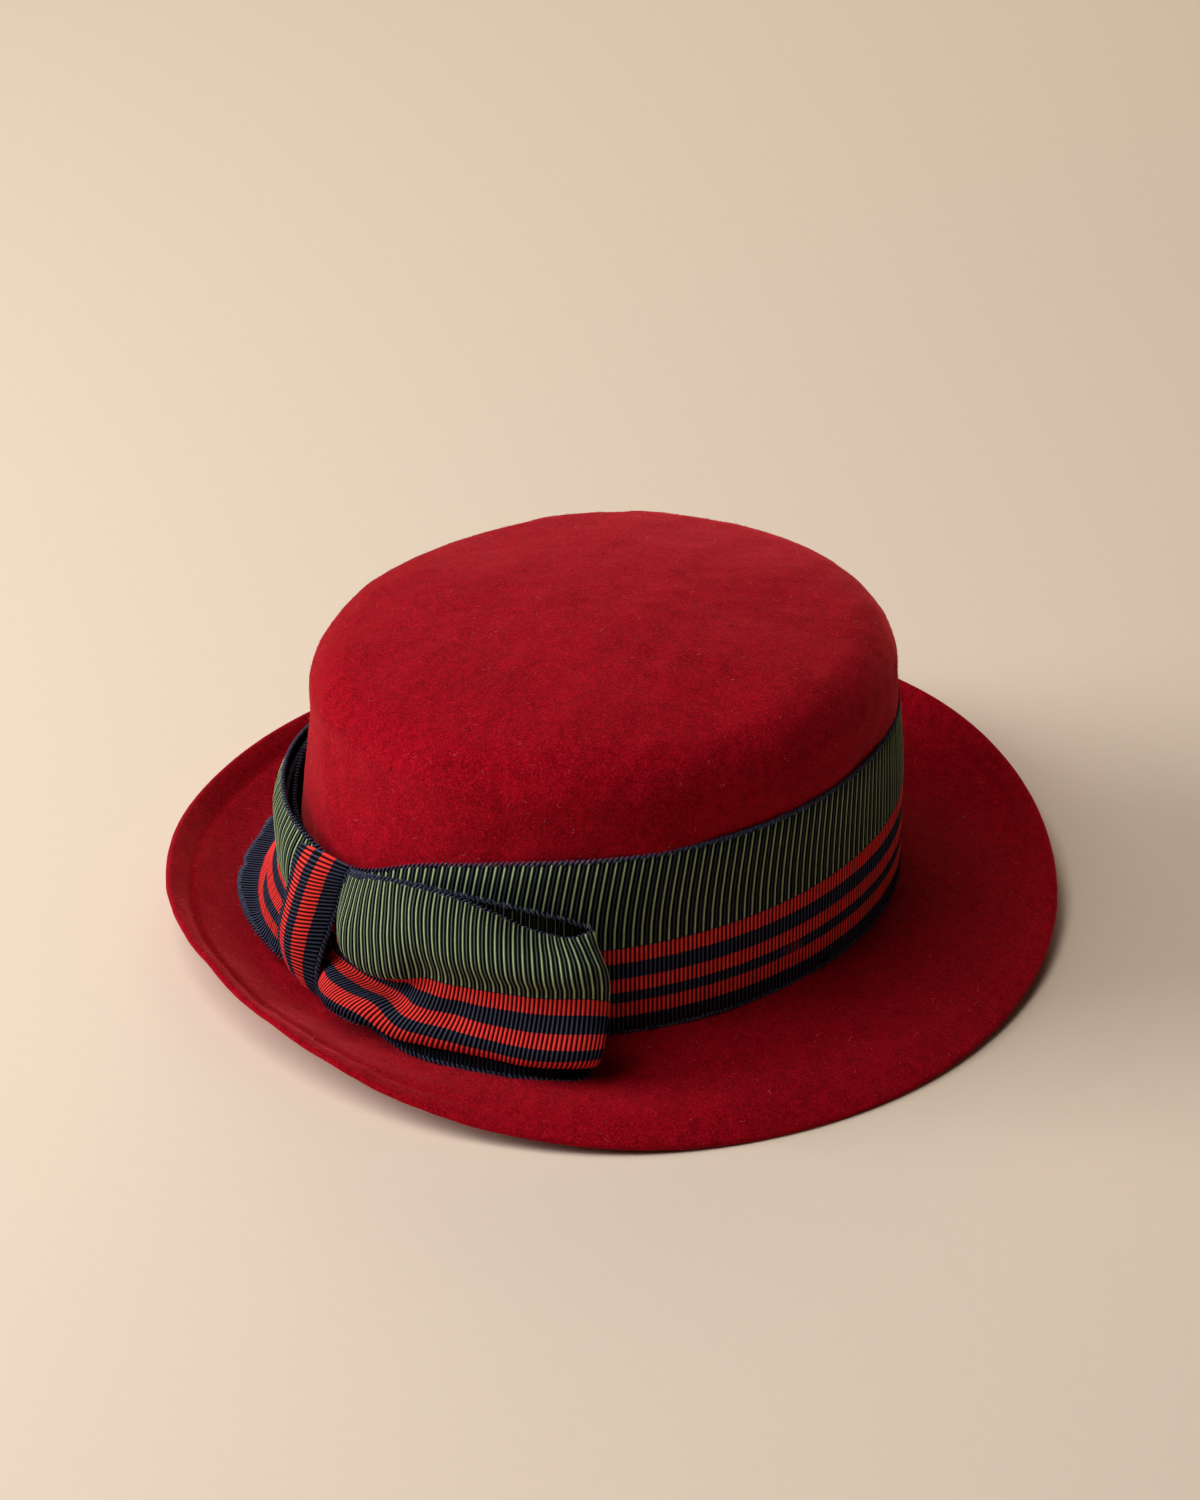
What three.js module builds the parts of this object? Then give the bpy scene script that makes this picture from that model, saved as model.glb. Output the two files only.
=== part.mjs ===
// A breton hat of blocked wool felt with a grosgrain band and a flat bow.
// Millimetres, +Z up. The hat stands on its brim, so z = 0 is the surface that it rests on.
// The wearer's front faces -Y, and the bow sits at the back, +Y.

import * as THREE from 'three';

// ---------- Driving dimensions ----------

const feltWall = 2.2;
const ribbonWall = 1.0;
const pieceGap = 0.48;

// The oval of the crown's outer face at the band, and of its tip.
const headHalfLength = 99.6;
const headHalfWidth = 86.9;
const tipHalfLength = 92.2;
const tipHalfWidth = 90.5;

// Where the crown's middle stands in the box round the whole hat.
const crownCentreX = -1.57;
const crownCentreY = 5.62;

// Heights above the table at the crown's middle.
const tipHeight = 107.7;
const tipEdgeHeight = 102.7;
const tipShoulderHeight = 88.8;
const straightWallHeight = 42;
const crownFootHeight = 9.3;
const footRadius = 2.0;
const tipEdgeReach = 20.6;

// The crown leans a little: its height grows by this much for each millimetre along X and Y.
const crownLeanX = -0.041;
const crownLeanY = -0.013;

const ribbonFootHeight = 10.7;
const ribbonFootStand = 0.5;

// The brim, by bearing from +X, anticlockwise: how far it reaches past the crown, and the
// height of its upper face halfway out, at the groove inside the lip, and at the rim.
const lipReach = 7;
const brimRows = [
  { bearing: 0, width: 56, middle: 1.8, groove: 10, rim: 14 },
  { bearing: 30, width: 51, middle: 2.8, groove: 11, rim: 15 },
  { bearing: 60, width: 44, middle: 6, groove: 15, rim: 19.5 },
  { bearing: 90, width: 39, middle: 7.5, groove: 13.5, rim: 17 },
  { bearing: 120, width: 41.5, middle: 9, groove: 9, rim: 8.5 },
  { bearing: 150, width: 48.5, middle: 9.5, groove: 6.2, rim: 2.6 },
  { bearing: 180, width: 54, middle: 8.5, groove: 5, rim: 2.1 },
  { bearing: 210, width: 54.5, middle: 8, groove: 5.5, rim: 5 },
  { bearing: 240, width: 51.5, middle: 7, groove: 8, rim: 11.5 },
  { bearing: 270, width: 50, middle: 7, groove: 15, rim: 19.5 },
  { bearing: 300, width: 52, middle: 5.5, groove: 16.5, rim: 21 },
  { bearing: 330, width: 55, middle: 2.8, groove: 13, rim: 17.5 },
];

// Felt that comes this near the table is pressed flat on it.
const restDepth = 0.6;

// The band, by bearing: how far its top edge stands off the crown's wall, and that edge's height.
const bandRows = [
  { bearing: 0, stand: 1.5, top: 66 },
  { bearing: 30, stand: 3.5, top: 63 },
  { bearing: 60, stand: 5, top: 61 },
  { bearing: 75, stand: 3.6, top: 57.5 },
  { bearing: 90, stand: 2, top: 57 },
  { bearing: 105, stand: 1.5, top: 64.5 },
  { bearing: 120, stand: 1.3, top: 69 },
  { bearing: 150, stand: 1.3, top: 71.8 },
  { bearing: 180, stand: 1.3, top: 73 },
  { bearing: 210, stand: 1.2, top: 74 },
  { bearing: 250, stand: 1.2, top: 72 },
  { bearing: 290, stand: 1.3, top: 69.5 },
  { bearing: 330, stand: 1.5, top: 67.5 },
];

// The bow's two loops, from the neck inside the knot to the fold: at each bearing, how far
// the front layer's top edge, belly and hem stand out from the band, their heights, and
// how far the back layer lies behind the belly.
const rightLoopRows = [
  { bearing: 85.2, top: 5.2, topHeight: 58, belly: 5.5, bellyHeight: 36, hem: 6, hemHeight: 15, gap: 3 },
  { bearing: 93, top: 5.2, topHeight: 58, belly: 5.7, bellyHeight: 36, hem: 6.2, hemHeight: 15, gap: 3 },
  { bearing: 100, top: 6, topHeight: 59.5, belly: 11.7, bellyHeight: 39, hem: 12, hemHeight: 12.5, gap: 7 },
  { bearing: 115, top: 6.5, topHeight: 60, belly: 13.2, bellyHeight: 36, hem: 13.5, hemHeight: 12, gap: 8 },
  { bearing: 131, top: 6.5, topHeight: 51, belly: 17.2, bellyHeight: 36, hem: 17.5, hemHeight: 11.5, gap: 6 },
  { bearing: 140, top: 5, topHeight: 46.5, belly: 22.2, bellyHeight: 36.5, hem: 20.5, hemHeight: 10.5, gap: 3 },
];
const leftLoopRows = [
  { bearing: 82.8, top: 5.2, topHeight: 58, belly: 5.5, bellyHeight: 36, hem: 6, hemHeight: 15, gap: 3 },
  { bearing: 75, top: 5.2, topHeight: 58, belly: 5.7, bellyHeight: 36, hem: 6.2, hemHeight: 15, gap: 3 },
  { bearing: 68, top: 6.5, topHeight: 58, belly: 11.5, bellyHeight: 37, hem: 13.5, hemHeight: 12.5, gap: 7 },
  { bearing: 55, top: 6, topHeight: 57, belly: 13, bellyHeight: 34, hem: 18.5, hemHeight: 11.5, gap: 7 },
  { bearing: 41, top: 5, topHeight: 52, belly: 14, bellyHeight: 33, hem: 21, hemHeight: 11, gap: 5 },
  { bearing: 31, top: 4.4, topHeight: 49, belly: 13.8, bellyHeight: 31.5, hem: 20.5, hemHeight: 11, gap: 4 },
  { bearing: 24, top: 4.2, topHeight: 47.5, belly: 13.2, bellyHeight: 31, hem: 19.5, hemHeight: 11, gap: 3 },
];
const topGapShare = 0.7;

// The knot: a ribbon folded in half, wrapped upright round the two necks.
const knotBearing = 84;
const knotHalfWidth = 12.5;
const knotWall = 1.2;
const knotMiddleHeight = 36.5;
const knotHalfHeight = 23.6;
const knotFront = 8.1;
const knotBulge = 1.2;
const knotSquareness = 0.35;

// The bow leans: towards the top of the knot, bearings grow by this many degrees a millimetre.
const bowSkew = 0.11;
const skewFadeStart = 10;
const skewFadeEnd = 35;

// Mesh fineness.
const roundSteps = 56;
const domeSteps = 4;
const edgeSteps = 5;
const wallSteps = 5;
const bandSteps = 4;
const brimSteps = 15;
const loopSteps = 36;
const sectionSteps = 6;
const knotSteps = 24;
const knotWidthSteps = 4;

// ---------- Measures shared by the pieces ----------

const { lerp, smoothstep, degToRad } = THREE.MathUtils;

// A point at a bearing on the crown's oval, pushed outwards by an offset, before the lean.
function onOval(bearing, offset, halfLength, halfWidth) {
  const angle = degToRad(bearing);
  const outward = new THREE.Vector2(Math.cos(angle) / halfWidth, Math.sin(angle) / halfLength);
  outward.normalize();
  return new THREE.Vector2(
    halfWidth * Math.cos(angle) + offset * outward.x,
    halfLength * Math.sin(angle) + offset * outward.y,
  );
}

function leanAt(flat) {
  return crownLeanX * flat.x + crownLeanY * flat.y;
}

// The oval of the crown's wall at a height: from the band up, it passes to the rounder tip.
function wallOval(height) {
  const tipShare = smoothstep(height, straightWallHeight, tipShoulderHeight);
  return {
    halfLength: lerp(headHalfLength, tipHalfLength, tipShare),
    halfWidth: lerp(headHalfWidth, tipHalfWidth, tipShare),
  };
}

// A point that stands off the crown's wall: its height follows the crown's lean.
function besideCrown(bearing, offset, height) {
  const { halfLength, halfWidth } = wallOval(height);
  const flat = onOval(bearing, offset, halfLength, halfWidth);
  return new THREE.Vector3(flat.x + crownCentreX, flat.y + crownCentreY, height + leanAt(flat));
}

// A table's column at any bearing, smooth all the way round.
function around(rows, column, bearing) {
  const turned = ((bearing % 360) + 360) % 360;
  const last = rows.findLastIndex((row) => row.bearing <= turned);
  const [before, start, end, after] = [-1, 0, 1, 2].map((step) => {
    const turns = Math.floor((last + step) / rows.length);
    const row = rows[last + step - turns * rows.length];
    return { place: row.bearing + turns * 360, value: row[column] };
  });
  const span = end.place - start.place;
  const share = (turned - start.place) / span;
  const leaving = (span * (end.value - before.value)) / (end.place - before.place);
  const arriving = (span * (after.value - start.value)) / (after.place - start.place);
  const bend = 2 * (start.value - end.value) + leaving + arriving;
  const turn = 3 * (end.value - start.value) - 2 * leaving - arriving;
  return ((bend * share + turn) * share + leaving) * share + start.value;
}

// How far the band's outer face stands off the crown's wall.
function bandFace(bearing, height) {
  const top = around(bandRows, 'top', bearing);
  const share = (height - ribbonFootHeight) / (top - ribbonFootHeight);
  return lerp(ribbonFootStand, around(bandRows, 'stand', bearing), share) + ribbonWall;
}

// ---------- Walls from grids of points ----------

function normalsOf(grid, closedRows, closedColumns) {
  const rows = grid.length;
  const columns = grid[0].length;
  const step = (index, count, closed) =>
    (closed ? (index + count) % count : Math.min(Math.max(index, 0), count - 1));
  const between = (start, end) => end.clone().sub(start);
  return grid.map((line, i) =>
    line.map((_, j) => {
      const rowBefore = grid[step(i - 1, rows, closedRows)];
      const rowAfter = grid[step(i + 1, rows, closedRows)];
      const columnBefore = step(j - 1, columns, closedColumns);
      const columnAfter = step(j + 1, columns, closedColumns);
      const alongRows = between(rowBefore[j], rowAfter[j]);
      return alongRows.cross(between(line[columnBefore], line[columnAfter])).normalize();
    }),
  );
}

// Collects vertices and quads, and makes a closed geometry that faces outwards.
class Skin {
  constructor() {
    this.points = [];
    this.triangles = [];
  }

  addGrid(grid) {
    return grid.map((line) => line.map((point) => this.points.push(point) - 1));
  }

  addPoint(point) {
    return this.points.push(point) - 1;
  }

  quad(a, b, c, d) {
    this.triangles.push([a, b, c], [a, c, d]);
  }

  // Quads between two lines of indices of the same length.
  strip(first, second, closed) {
    const last = closed ? first.length : first.length - 1;
    for (let k = 0; k < last; k += 1) {
      const next = (k + 1) % first.length;
      this.quad(first[k], second[k], second[next], first[next]);
    }
  }

  fan(centre, line) {
    line.forEach((corner, k) => this.triangles.push([centre, corner, line[(k + 1) % line.length]]));
  }

  geometry() {
    let sixVolumes = 0;
    this.triangles.forEach(([a, b, c]) => {
      sixVolumes += this.points[a].dot(new THREE.Vector3().crossVectors(this.points[b], this.points[c]));
    });
    const faces = sixVolumes < 0 ? this.triangles.map(([a, b, c]) => [a, c, b]) : this.triangles;
    const geometry = new THREE.BufferGeometry();
    geometry.setFromPoints(this.points);
    geometry.setIndex(faces.flat());
    geometry.computeVertexNormals();
    return geometry;
  }
}

// A wall of one thickness whose middle is a grid that closes along its rows.
function hoopWall(grid, wall) {
  const normals = normalsOf(grid, true, false);
  const shifted = (side) =>
    grid.map((line, i) => line.map((point, j) => point.clone().addScaledVector(normals[i][j], (side * wall) / 2)));
  const skin = new Skin();
  const front = skin.addGrid(shifted(1));
  const back = skin.addGrid(shifted(-1));
  const columns = grid[0].length;
  front.forEach((line, i) => {
    const next = (i + 1) % front.length;
    skin.strip(line, front[next], false);
    skin.strip(back[next], back[i], false);
    skin.quad(back[i][0], back[next][0], front[next][0], line[0]);
    skin.quad(line[columns - 1], front[next][columns - 1], back[next][columns - 1], back[i][columns - 1]);
  });
  return skin.geometry();
}

// ---------- Felt body: crown and brim in one wall ----------

function crownRing(halfLength, halfWidth, height) {
  return (bearing) => {
    const flat = onOval(bearing, 0, halfLength, halfWidth);
    return new THREE.Vector3(flat.x + crownCentreX, flat.y + crownCentreY, height + leanAt(flat));
  };
}

function tipRings() {
  return Array.from({ length: domeSteps }, (_, k) => {
    const share = (k + 1) / (domeSteps + 1);
    const height = lerp(tipHeight, tipEdgeHeight, share * share);
    return crownRing((tipHalfLength - tipEdgeReach) * share, (tipHalfWidth - tipEdgeReach) * share, height);
  });
}

function edgeRings() {
  return Array.from({ length: edgeSteps + 1 }, (_, k) => {
    const angle = ((edgeSteps - k) / edgeSteps) * (Math.PI / 2);
    const inset = tipEdgeReach * (1 - Math.cos(angle));
    const height = lerp(tipShoulderHeight, tipEdgeHeight, Math.sin(angle));
    return crownRing(tipHalfLength - inset, tipHalfWidth - inset, height);
  });
}

function wallRings() {
  const wallFoot = crownFootHeight + footRadius;
  return Array.from({ length: wallSteps }, (_, k) => {
    const height = lerp(tipShoulderHeight, wallFoot, (k + 1) / wallSteps);
    const { halfLength, halfWidth } = wallOval(height);
    return crownRing(halfLength, halfWidth, height);
  });
}

// The brim's upper face at a bearing: from the crown's foot out to the rim.
function brimProfile(bearing) {
  const width = around(brimRows, 'width', bearing);
  const lean = leanAt(onOval(bearing, 0, headHalfLength, headHalfWidth));
  const foot = crownFootHeight + lean;
  const stations = [
    [0, foot + footRadius],
    [footRadius * 0.3, foot + footRadius * 0.3],
    [footRadius, foot],
    [width / 2, around(brimRows, 'middle', bearing)],
    [width - lipReach, around(brimRows, 'groove', bearing)],
    [width, around(brimRows, 'rim', bearing)],
  ].map(([out, height]) => new THREE.Vector3(out, 0, height));
  return new THREE.CatmullRomCurve3(stations, false, 'centripetal');
}

function brimRing(share) {
  return (bearing) => {
    const station = brimProfile(bearing).getPoint(share);
    const flat = onOval(bearing, station.x, headHalfLength, headHalfWidth);
    return new THREE.Vector3(flat.x + crownCentreX, flat.y + crownCentreY, station.z);
  };
}

function brimRings() {
  return Array.from({ length: brimSteps }, (_, k) => brimRing((k + 1) / brimSteps));
}

function feltBody() {
  const rings = [...tipRings(), ...edgeRings(), ...wallRings(), ...brimRings()];
  const outer = rings.map((ring) =>
    Array.from({ length: roundSteps }, (_, k) => ring((k * 360) / roundSteps)),
  );
  const normals = normalsOf(outer, false, true);
  const inner = outer.map((line, i) =>
    line.map((point, j) => {
      const under = point.clone().addScaledVector(normals[i][j], -feltWall);
      return under.z < restDepth ? under.setZ(0) : under;
    }),
  );
  const skin = new Skin();
  const top = skin.addGrid(outer);
  const under = skin.addGrid(inner);
  const tip = skin.addPoint(new THREE.Vector3(crownCentreX, crownCentreY, tipHeight));
  const tipUnder = skin.addPoint(new THREE.Vector3(crownCentreX, crownCentreY, tipHeight - feltWall));
  skin.fan(tip, top[0]);
  skin.fan(tipUnder, [...under[0]].reverse());
  for (let i = 0; i + 1 < top.length; i += 1) {
    skin.strip(top[i], top[i + 1], true);
    skin.strip(under[i + 1], under[i], true);
  }
  skin.strip(top[top.length - 1], under[under.length - 1], true);
  return skin.geometry();
}

// ---------- Hat band ----------

function hatBand() {
  const grid = Array.from({ length: roundSteps }, (_, k) => {
    const bearing = (k * 360) / roundSteps;
    const top = around(bandRows, 'top', bearing);
    return Array.from({ length: bandSteps + 1 }, (_, step) => {
      const height = lerp(ribbonFootHeight, top, step / bandSteps);
      return besideCrown(bearing, bandFace(bearing, height) - ribbonWall / 2, height);
    });
  });
  return hoopWall(grid, ribbonWall);
}

// ---------- Bow ----------

// A point of the bow, by how far it stands out from the band's face.
function bowPoint(bearing, stand, height) {
  const fade = 1 - smoothstep(Math.abs(bearing - knotBearing), skewFadeStart, skewFadeEnd);
  const leaning = bearing + fade * bowSkew * (height - knotMiddleHeight);
  return besideCrown(leaning, bandFace(leaning, height) + stand, height);
}

// One closed line round a loop: out along the front layer and home along the back layer.
function loopLine(rows, outColumn, heightColumn, gapShare) {
  const front = rows.map((row) => new THREE.Vector3(row.bearing, row[outColumn], row[heightColumn]));
  const back = rows.map((row) =>
    new THREE.Vector3(row.bearing, row[outColumn] - row.gap * gapShare, row[heightColumn]),
  );
  return new THREE.CatmullRomCurve3([...front, ...back.reverse()], true, 'catmullrom', 0.35);
}

function bowLoop(rows) {
  const lines = [
    loopLine(rows, 'top', 'topHeight', topGapShare),
    loopLine(rows, 'belly', 'bellyHeight', 1),
    loopLine(rows, 'hem', 'hemHeight', 1),
  ];
  const grid = Array.from({ length: loopSteps }, (_, i) => {
    const section = new THREE.CatmullRomCurve3(lines.map((line) => line.getPoint(i / loopSteps)));
    return section.getPoints(sectionSteps).map((station) => bowPoint(station.x, station.y, station.z));
  });
  return hoopWall(grid, ribbonWall);
}

function bowKnot() {
  const knotBack = pieceGap + knotWall / 2;
  const middle = (knotFront + knotBack) / 2;
  const depth = (knotFront - knotBack) / 2;
  const degreesPerMillimetre = 180 / (Math.PI * headHalfLength);
  const grid = Array.from({ length: knotSteps }, (_, i) => {
    const angle = (i * 2 * Math.PI) / knotSteps;
    const across = Math.sign(Math.cos(angle)) * Math.abs(Math.cos(angle)) ** knotSquareness;
    const up = Math.sign(Math.sin(angle)) * Math.abs(Math.sin(angle)) ** knotSquareness;
    const bulge = across > 0 ? knotBulge * (1 - up * up) : 0;
    return Array.from({ length: knotWidthSteps + 1 }, (_, j) => {
      const aside = lerp(-knotHalfWidth, knotHalfWidth, j / knotWidthSteps);
      return bowPoint(
        knotBearing + aside * degreesPerMillimetre,
        middle + across * depth + bulge,
        knotMiddleHeight + up * knotHalfHeight,
      );
    });
  });
  return hoopWall(grid, knotWall);
}

// ---------- Assembly ----------

const finishes = {
  redFelt: new THREE.MeshStandardMaterial({ color: 0x9c0f1c, roughness: 0.95, metalness: 0 }),
  greenRibbon: new THREE.MeshStandardMaterial({ color: 0x4a5a3c, roughness: 0.7, metalness: 0 }),
  stripedRibbon: new THREE.MeshStandardMaterial({ color: 0x2b2f4a, roughness: 0.7, metalness: 0 }),
};

function named(name, geometry, material) {
  const mesh = new THREE.Mesh(geometry, material);
  mesh.name = name;
  return mesh;
}

const hat = new THREE.Group();
hat.name = 'breton_hat';
hat.add(
  named('felt_body', feltBody(), finishes.redFelt),
  named('hat_band', hatBand(), finishes.greenRibbon),
  named('bow_loop_right', bowLoop(rightLoopRows), finishes.greenRibbon),
  named('bow_loop_left', bowLoop(leftLoopRows), finishes.greenRibbon),
  named('bow_knot', bowKnot(), finishes.stripedRibbon),
);

export default hat;
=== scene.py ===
"""A breton hat: blocked wool felt, a grosgrain band and a flat bow, on a pale floor."""

import logging
import math
from collections.abc import Mapping, Sequence
from dataclasses import dataclass, field, replace
from enum import Enum
from typing import NamedTuple

import bpy
import numpy as np
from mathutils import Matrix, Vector


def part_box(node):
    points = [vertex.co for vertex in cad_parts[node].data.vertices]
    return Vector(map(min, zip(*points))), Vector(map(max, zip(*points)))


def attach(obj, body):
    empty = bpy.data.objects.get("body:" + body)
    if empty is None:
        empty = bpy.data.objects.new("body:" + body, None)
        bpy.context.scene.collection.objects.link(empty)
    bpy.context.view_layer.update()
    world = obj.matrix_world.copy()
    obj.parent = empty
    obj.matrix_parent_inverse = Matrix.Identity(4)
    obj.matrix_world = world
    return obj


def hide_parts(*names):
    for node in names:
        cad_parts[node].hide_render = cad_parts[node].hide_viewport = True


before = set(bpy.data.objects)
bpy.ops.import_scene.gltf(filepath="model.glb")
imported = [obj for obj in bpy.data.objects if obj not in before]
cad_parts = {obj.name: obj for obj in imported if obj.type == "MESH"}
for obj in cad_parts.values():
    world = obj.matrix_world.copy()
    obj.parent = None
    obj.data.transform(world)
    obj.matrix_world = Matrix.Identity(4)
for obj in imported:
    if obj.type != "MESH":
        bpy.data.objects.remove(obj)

MM = 0.001
FULL_TURN = 360.0
TINY = 1e-6
ROOT_BODY = "root"
LOG = logging.getLogger("breton_hat")

Grid = np.ndarray
Colour = tuple[float, float, float]


# ---------- Curves and fields ----------


def flow(knots: Sequence[float], values: np.ndarray, places: np.ndarray) -> np.ndarray:
    """Follow a smooth curve through values that stand at uneven knots.

    Args:
        knots: Rising places of the values.
        values: One value, or one array of values, for each knot.
        places: Where to read the curve.

    Returns:
        The curve's values, one for each place.
    """
    knots = np.asarray(knots, float)
    values = np.asarray(values, float)
    places = np.asarray(places, float)
    shape = (-1,) + (1,) * (values.ndim - 1)
    gaps = np.diff(knots).reshape(shape)
    slopes = np.diff(values, axis=0) / gaps
    inner = (slopes[:-1] * gaps[1:] + slopes[1:] * gaps[:-1]) / (gaps[:-1] + gaps[1:])
    tangents = np.concatenate([slopes[:1], inner, slopes[-1:]])
    first = np.clip(np.searchsorted(knots, places, side="right") - 1, 0, len(knots) - 2)
    span = gaps[first]
    share = ((places - knots[first]) / np.diff(knots)[first]).reshape(shape)
    start, end = values[first], values[first + 1]
    leave, arrive = tangents[first] * span, tangents[first + 1] * span
    bend = 2 * (start - end) + leave + arrive
    turn = 3 * (end - start) - 2 * leave - arrive
    return ((bend * share + turn) * share + leave) * share + start


def around(bearings: Sequence[float], column: Sequence[float], bearing: np.ndarray) -> np.ndarray:
    """Read a table's column at any bearing, smooth all the way round.

    Args:
        bearings: The rows' own bearings in degrees, rising from 0.
        column: The rows' values.
        bearing: Where to read the column.

    Returns:
        The column's value at each bearing.
    """
    turns = np.array([-FULL_TURN, 0, FULL_TURN])
    knots = (turns[:, None] + np.asarray(bearings, float)).ravel()
    turned = np.mod(np.asarray(bearing, float), FULL_TURN)
    values = flow(knots, np.tile(column, len(turns)), turned.ravel())
    return values.reshape(turned.shape)


def smoothstep(value: np.ndarray, low: float, high: float) -> np.ndarray:
    """Rise softly from 0 at low to 1 at high.

    Args:
        value: Where to read the step.
        low: Where it leaves 0.
        high: Where it reaches 1.

    Returns:
        The step's height at each value.
    """
    share = np.clip((np.asarray(value, float) - low) / (high - low), 0, 1)
    return share * share * (3 - 2 * share)


def lerp(start: np.ndarray, end: np.ndarray, share: np.ndarray) -> np.ndarray:
    """Mix two values by a share."""
    return start + (end - start) * share


@dataclass(frozen=True)
class Ripple:
    """Gentle unevenness of a soft surface, the same on every run."""

    seed: int
    height: float
    shortest: float
    longest: float
    waves: int = 26

    def at(self, points: Grid) -> np.ndarray:
        """Read the unevenness at points.

        Args:
            points: Places in millimetres, with x, y and z last.

        Returns:
            A height in millimetres for each point.
        """
        rng = np.random.default_rng(self.seed)
        directions = rng.normal(size=(self.waves, 3))
        directions /= np.linalg.norm(directions, axis=1, keepdims=True)
        lengths = rng.uniform(self.shortest, self.longest, self.waves)
        phases = rng.uniform(0, 2 * math.pi, self.waves)
        turns = points @ (directions * (2 * math.pi / lengths[:, None])).T + phases
        return np.cos(turns).sum(-1) * self.height / math.sqrt(self.waves / 2)


def normals_of(grid: Grid, closed: bool = False) -> Grid:
    """Find the unit normals of a grid of points.

    Args:
        grid: Points by row and column.
        closed: Whether the rows' ends meet.

    Returns:
        One normal for each point, along rows crossed with columns.
    """
    if closed:
        along = np.roll(grid, -1, axis=0) - np.roll(grid, 1, axis=0)
    else:
        along = np.gradient(grid, axis=0)
    across = np.gradient(grid, axis=1)
    normals = np.cross(along, across)
    return normals / np.maximum(np.linalg.norm(normals, axis=-1, keepdims=True), TINY)


def travelled(points: Grid) -> np.ndarray:
    """Measure how far each row of points lies from the first, on average over its columns.

    Args:
        points: Points by row and column.

    Returns:
        One distance for each row, rising from 0.
    """
    gaps = np.linalg.norm(np.diff(points, axis=0), axis=-1).mean(1)
    return np.concatenate([[0], np.cumsum(gaps)])


# ---------- The hat's form ----------


@dataclass(frozen=True)
class HatForm:
    """The blocked shape that every piece is laid on, in millimetres and degrees."""

    centre_x: float
    centre_y: float
    head_half_length: float = 99.6
    head_half_width: float = 86.9
    tip_half_length: float = 92.2
    tip_half_width: float = 90.5
    tip_rise: float = 8.5
    tip_turn: float = 73.8
    tip_edge_height: float = 104.4
    tip_shoulder_height: float = 88.8
    straight_wall_height: float = 42.0
    foot_height: float = 9.3
    foot_radius: float = 2.0
    tip_edge_reach: float = 20.6
    lean_x: float = -0.041
    lean_y: float = -0.013

    def oval(
        self, bearing: np.ndarray, out: np.ndarray, half_length: float, half_width: float
    ) -> tuple[np.ndarray, np.ndarray]:
        """Find points that stand outside an oval.

        Args:
            bearing: Bearings in degrees.
            out: How far outside the oval.
            half_length: Half the oval's size along Y.
            half_width: Half its size along X.

        Returns:
            The points' x and y from the crown's middle.
        """
        angle = np.radians(bearing)
        across, along = np.cos(angle), np.sin(angle)
        aside, ahead = across / half_width, along / half_length
        size = np.hypot(aside, ahead)
        return half_width * across + out * aside / size, half_length * along + out * ahead / size

    def lean(self, x: np.ndarray, y: np.ndarray) -> np.ndarray:
        """Tell how much higher the leaning crown is at a place."""
        return self.lean_x * x + self.lean_y * y

    def beside(self, bearing: np.ndarray, out: np.ndarray, height: np.ndarray) -> Grid:
        """Find points beside the crown, which follow its lean.

        Args:
            bearing: Bearings in degrees.
            out: How far outside the head's oval.
            height: Heights on the crown.

        Returns:
            The points, with x, y and z last.
        """
        x, y = self.oval(bearing, out, self.head_half_length, self.head_half_width)
        return self.leaning_at(x, y, height)

    def on_wall(self, bearing: np.ndarray, off: np.ndarray, height: np.ndarray) -> Grid:
        """Find points that stand off the crown's wall, which passes to the rounder tip.

        Args:
            bearing: Bearings in degrees.
            off: How far they stand off the felt.
            height: Heights on the crown.

        Returns:
            The points, with x, y and z last.
        """
        share = smoothstep(height, self.straight_wall_height, self.tip_shoulder_height)
        half_length = lerp(self.head_half_length, self.tip_half_length, share)
        half_width = lerp(self.head_half_width, self.tip_half_width, share)
        x, y = self.oval(bearing, off, half_length, half_width)
        return self.leaning_at(x, y, height)

    def at(self, x: np.ndarray, y: np.ndarray, height: np.ndarray) -> Grid:
        """Move points from the crown's middle to their place in the frame."""
        return np.stack([x + self.centre_x, y + self.centre_y, height], -1)

    def leaning_at(self, x: np.ndarray, y: np.ndarray, height: np.ndarray) -> Grid:
        """Move points to their place in the frame, and higher or lower by the crown's lean."""
        return self.at(x, y, height + self.lean(x, y))


@dataclass(frozen=True)
class Brim:
    """The brim's sizes by bearing, anticlockwise from +X, in millimetres."""

    bearings: tuple[float, ...] = (0, 30, 60, 90, 120, 150, 180, 210, 240, 270, 300, 330)
    width: tuple[float, ...] = (56.3, 50.6, 42.2, 36.6, 42.4, 50.6, 54.8, 53.6, 50.6, 50.3, 52, 55)
    middle: tuple[float, ...] = (1.8, 2.8, 6, 7.5, 9, 9.5, 8.5, 8, 7, 7, 5.5, 2.8)
    groove: tuple[float, ...] = (10, 11, 15, 13.5, 9, 6.2, 5, 5.5, 8, 15, 16.5, 13)
    rim: tuple[float, ...] = (14, 15, 19.5, 17, 8.5, 2.6, 2.1, 5.5, 13, 21, 21.5, 17.5)
    crease: tuple[float, ...] = (1.3, 1.4, 1.4, 0.8, 0.3, 0.1, 0.1, 0.2, 0.6, 1.3, 1.5, 1.5)
    lip_reach: float = 7.0
    crease_width: float = 1.7

    def read(self, column: tuple[float, ...], bearing: np.ndarray) -> np.ndarray:
        """Read one of the brim's columns at any bearing."""
        return around(self.bearings, column, bearing)


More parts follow.
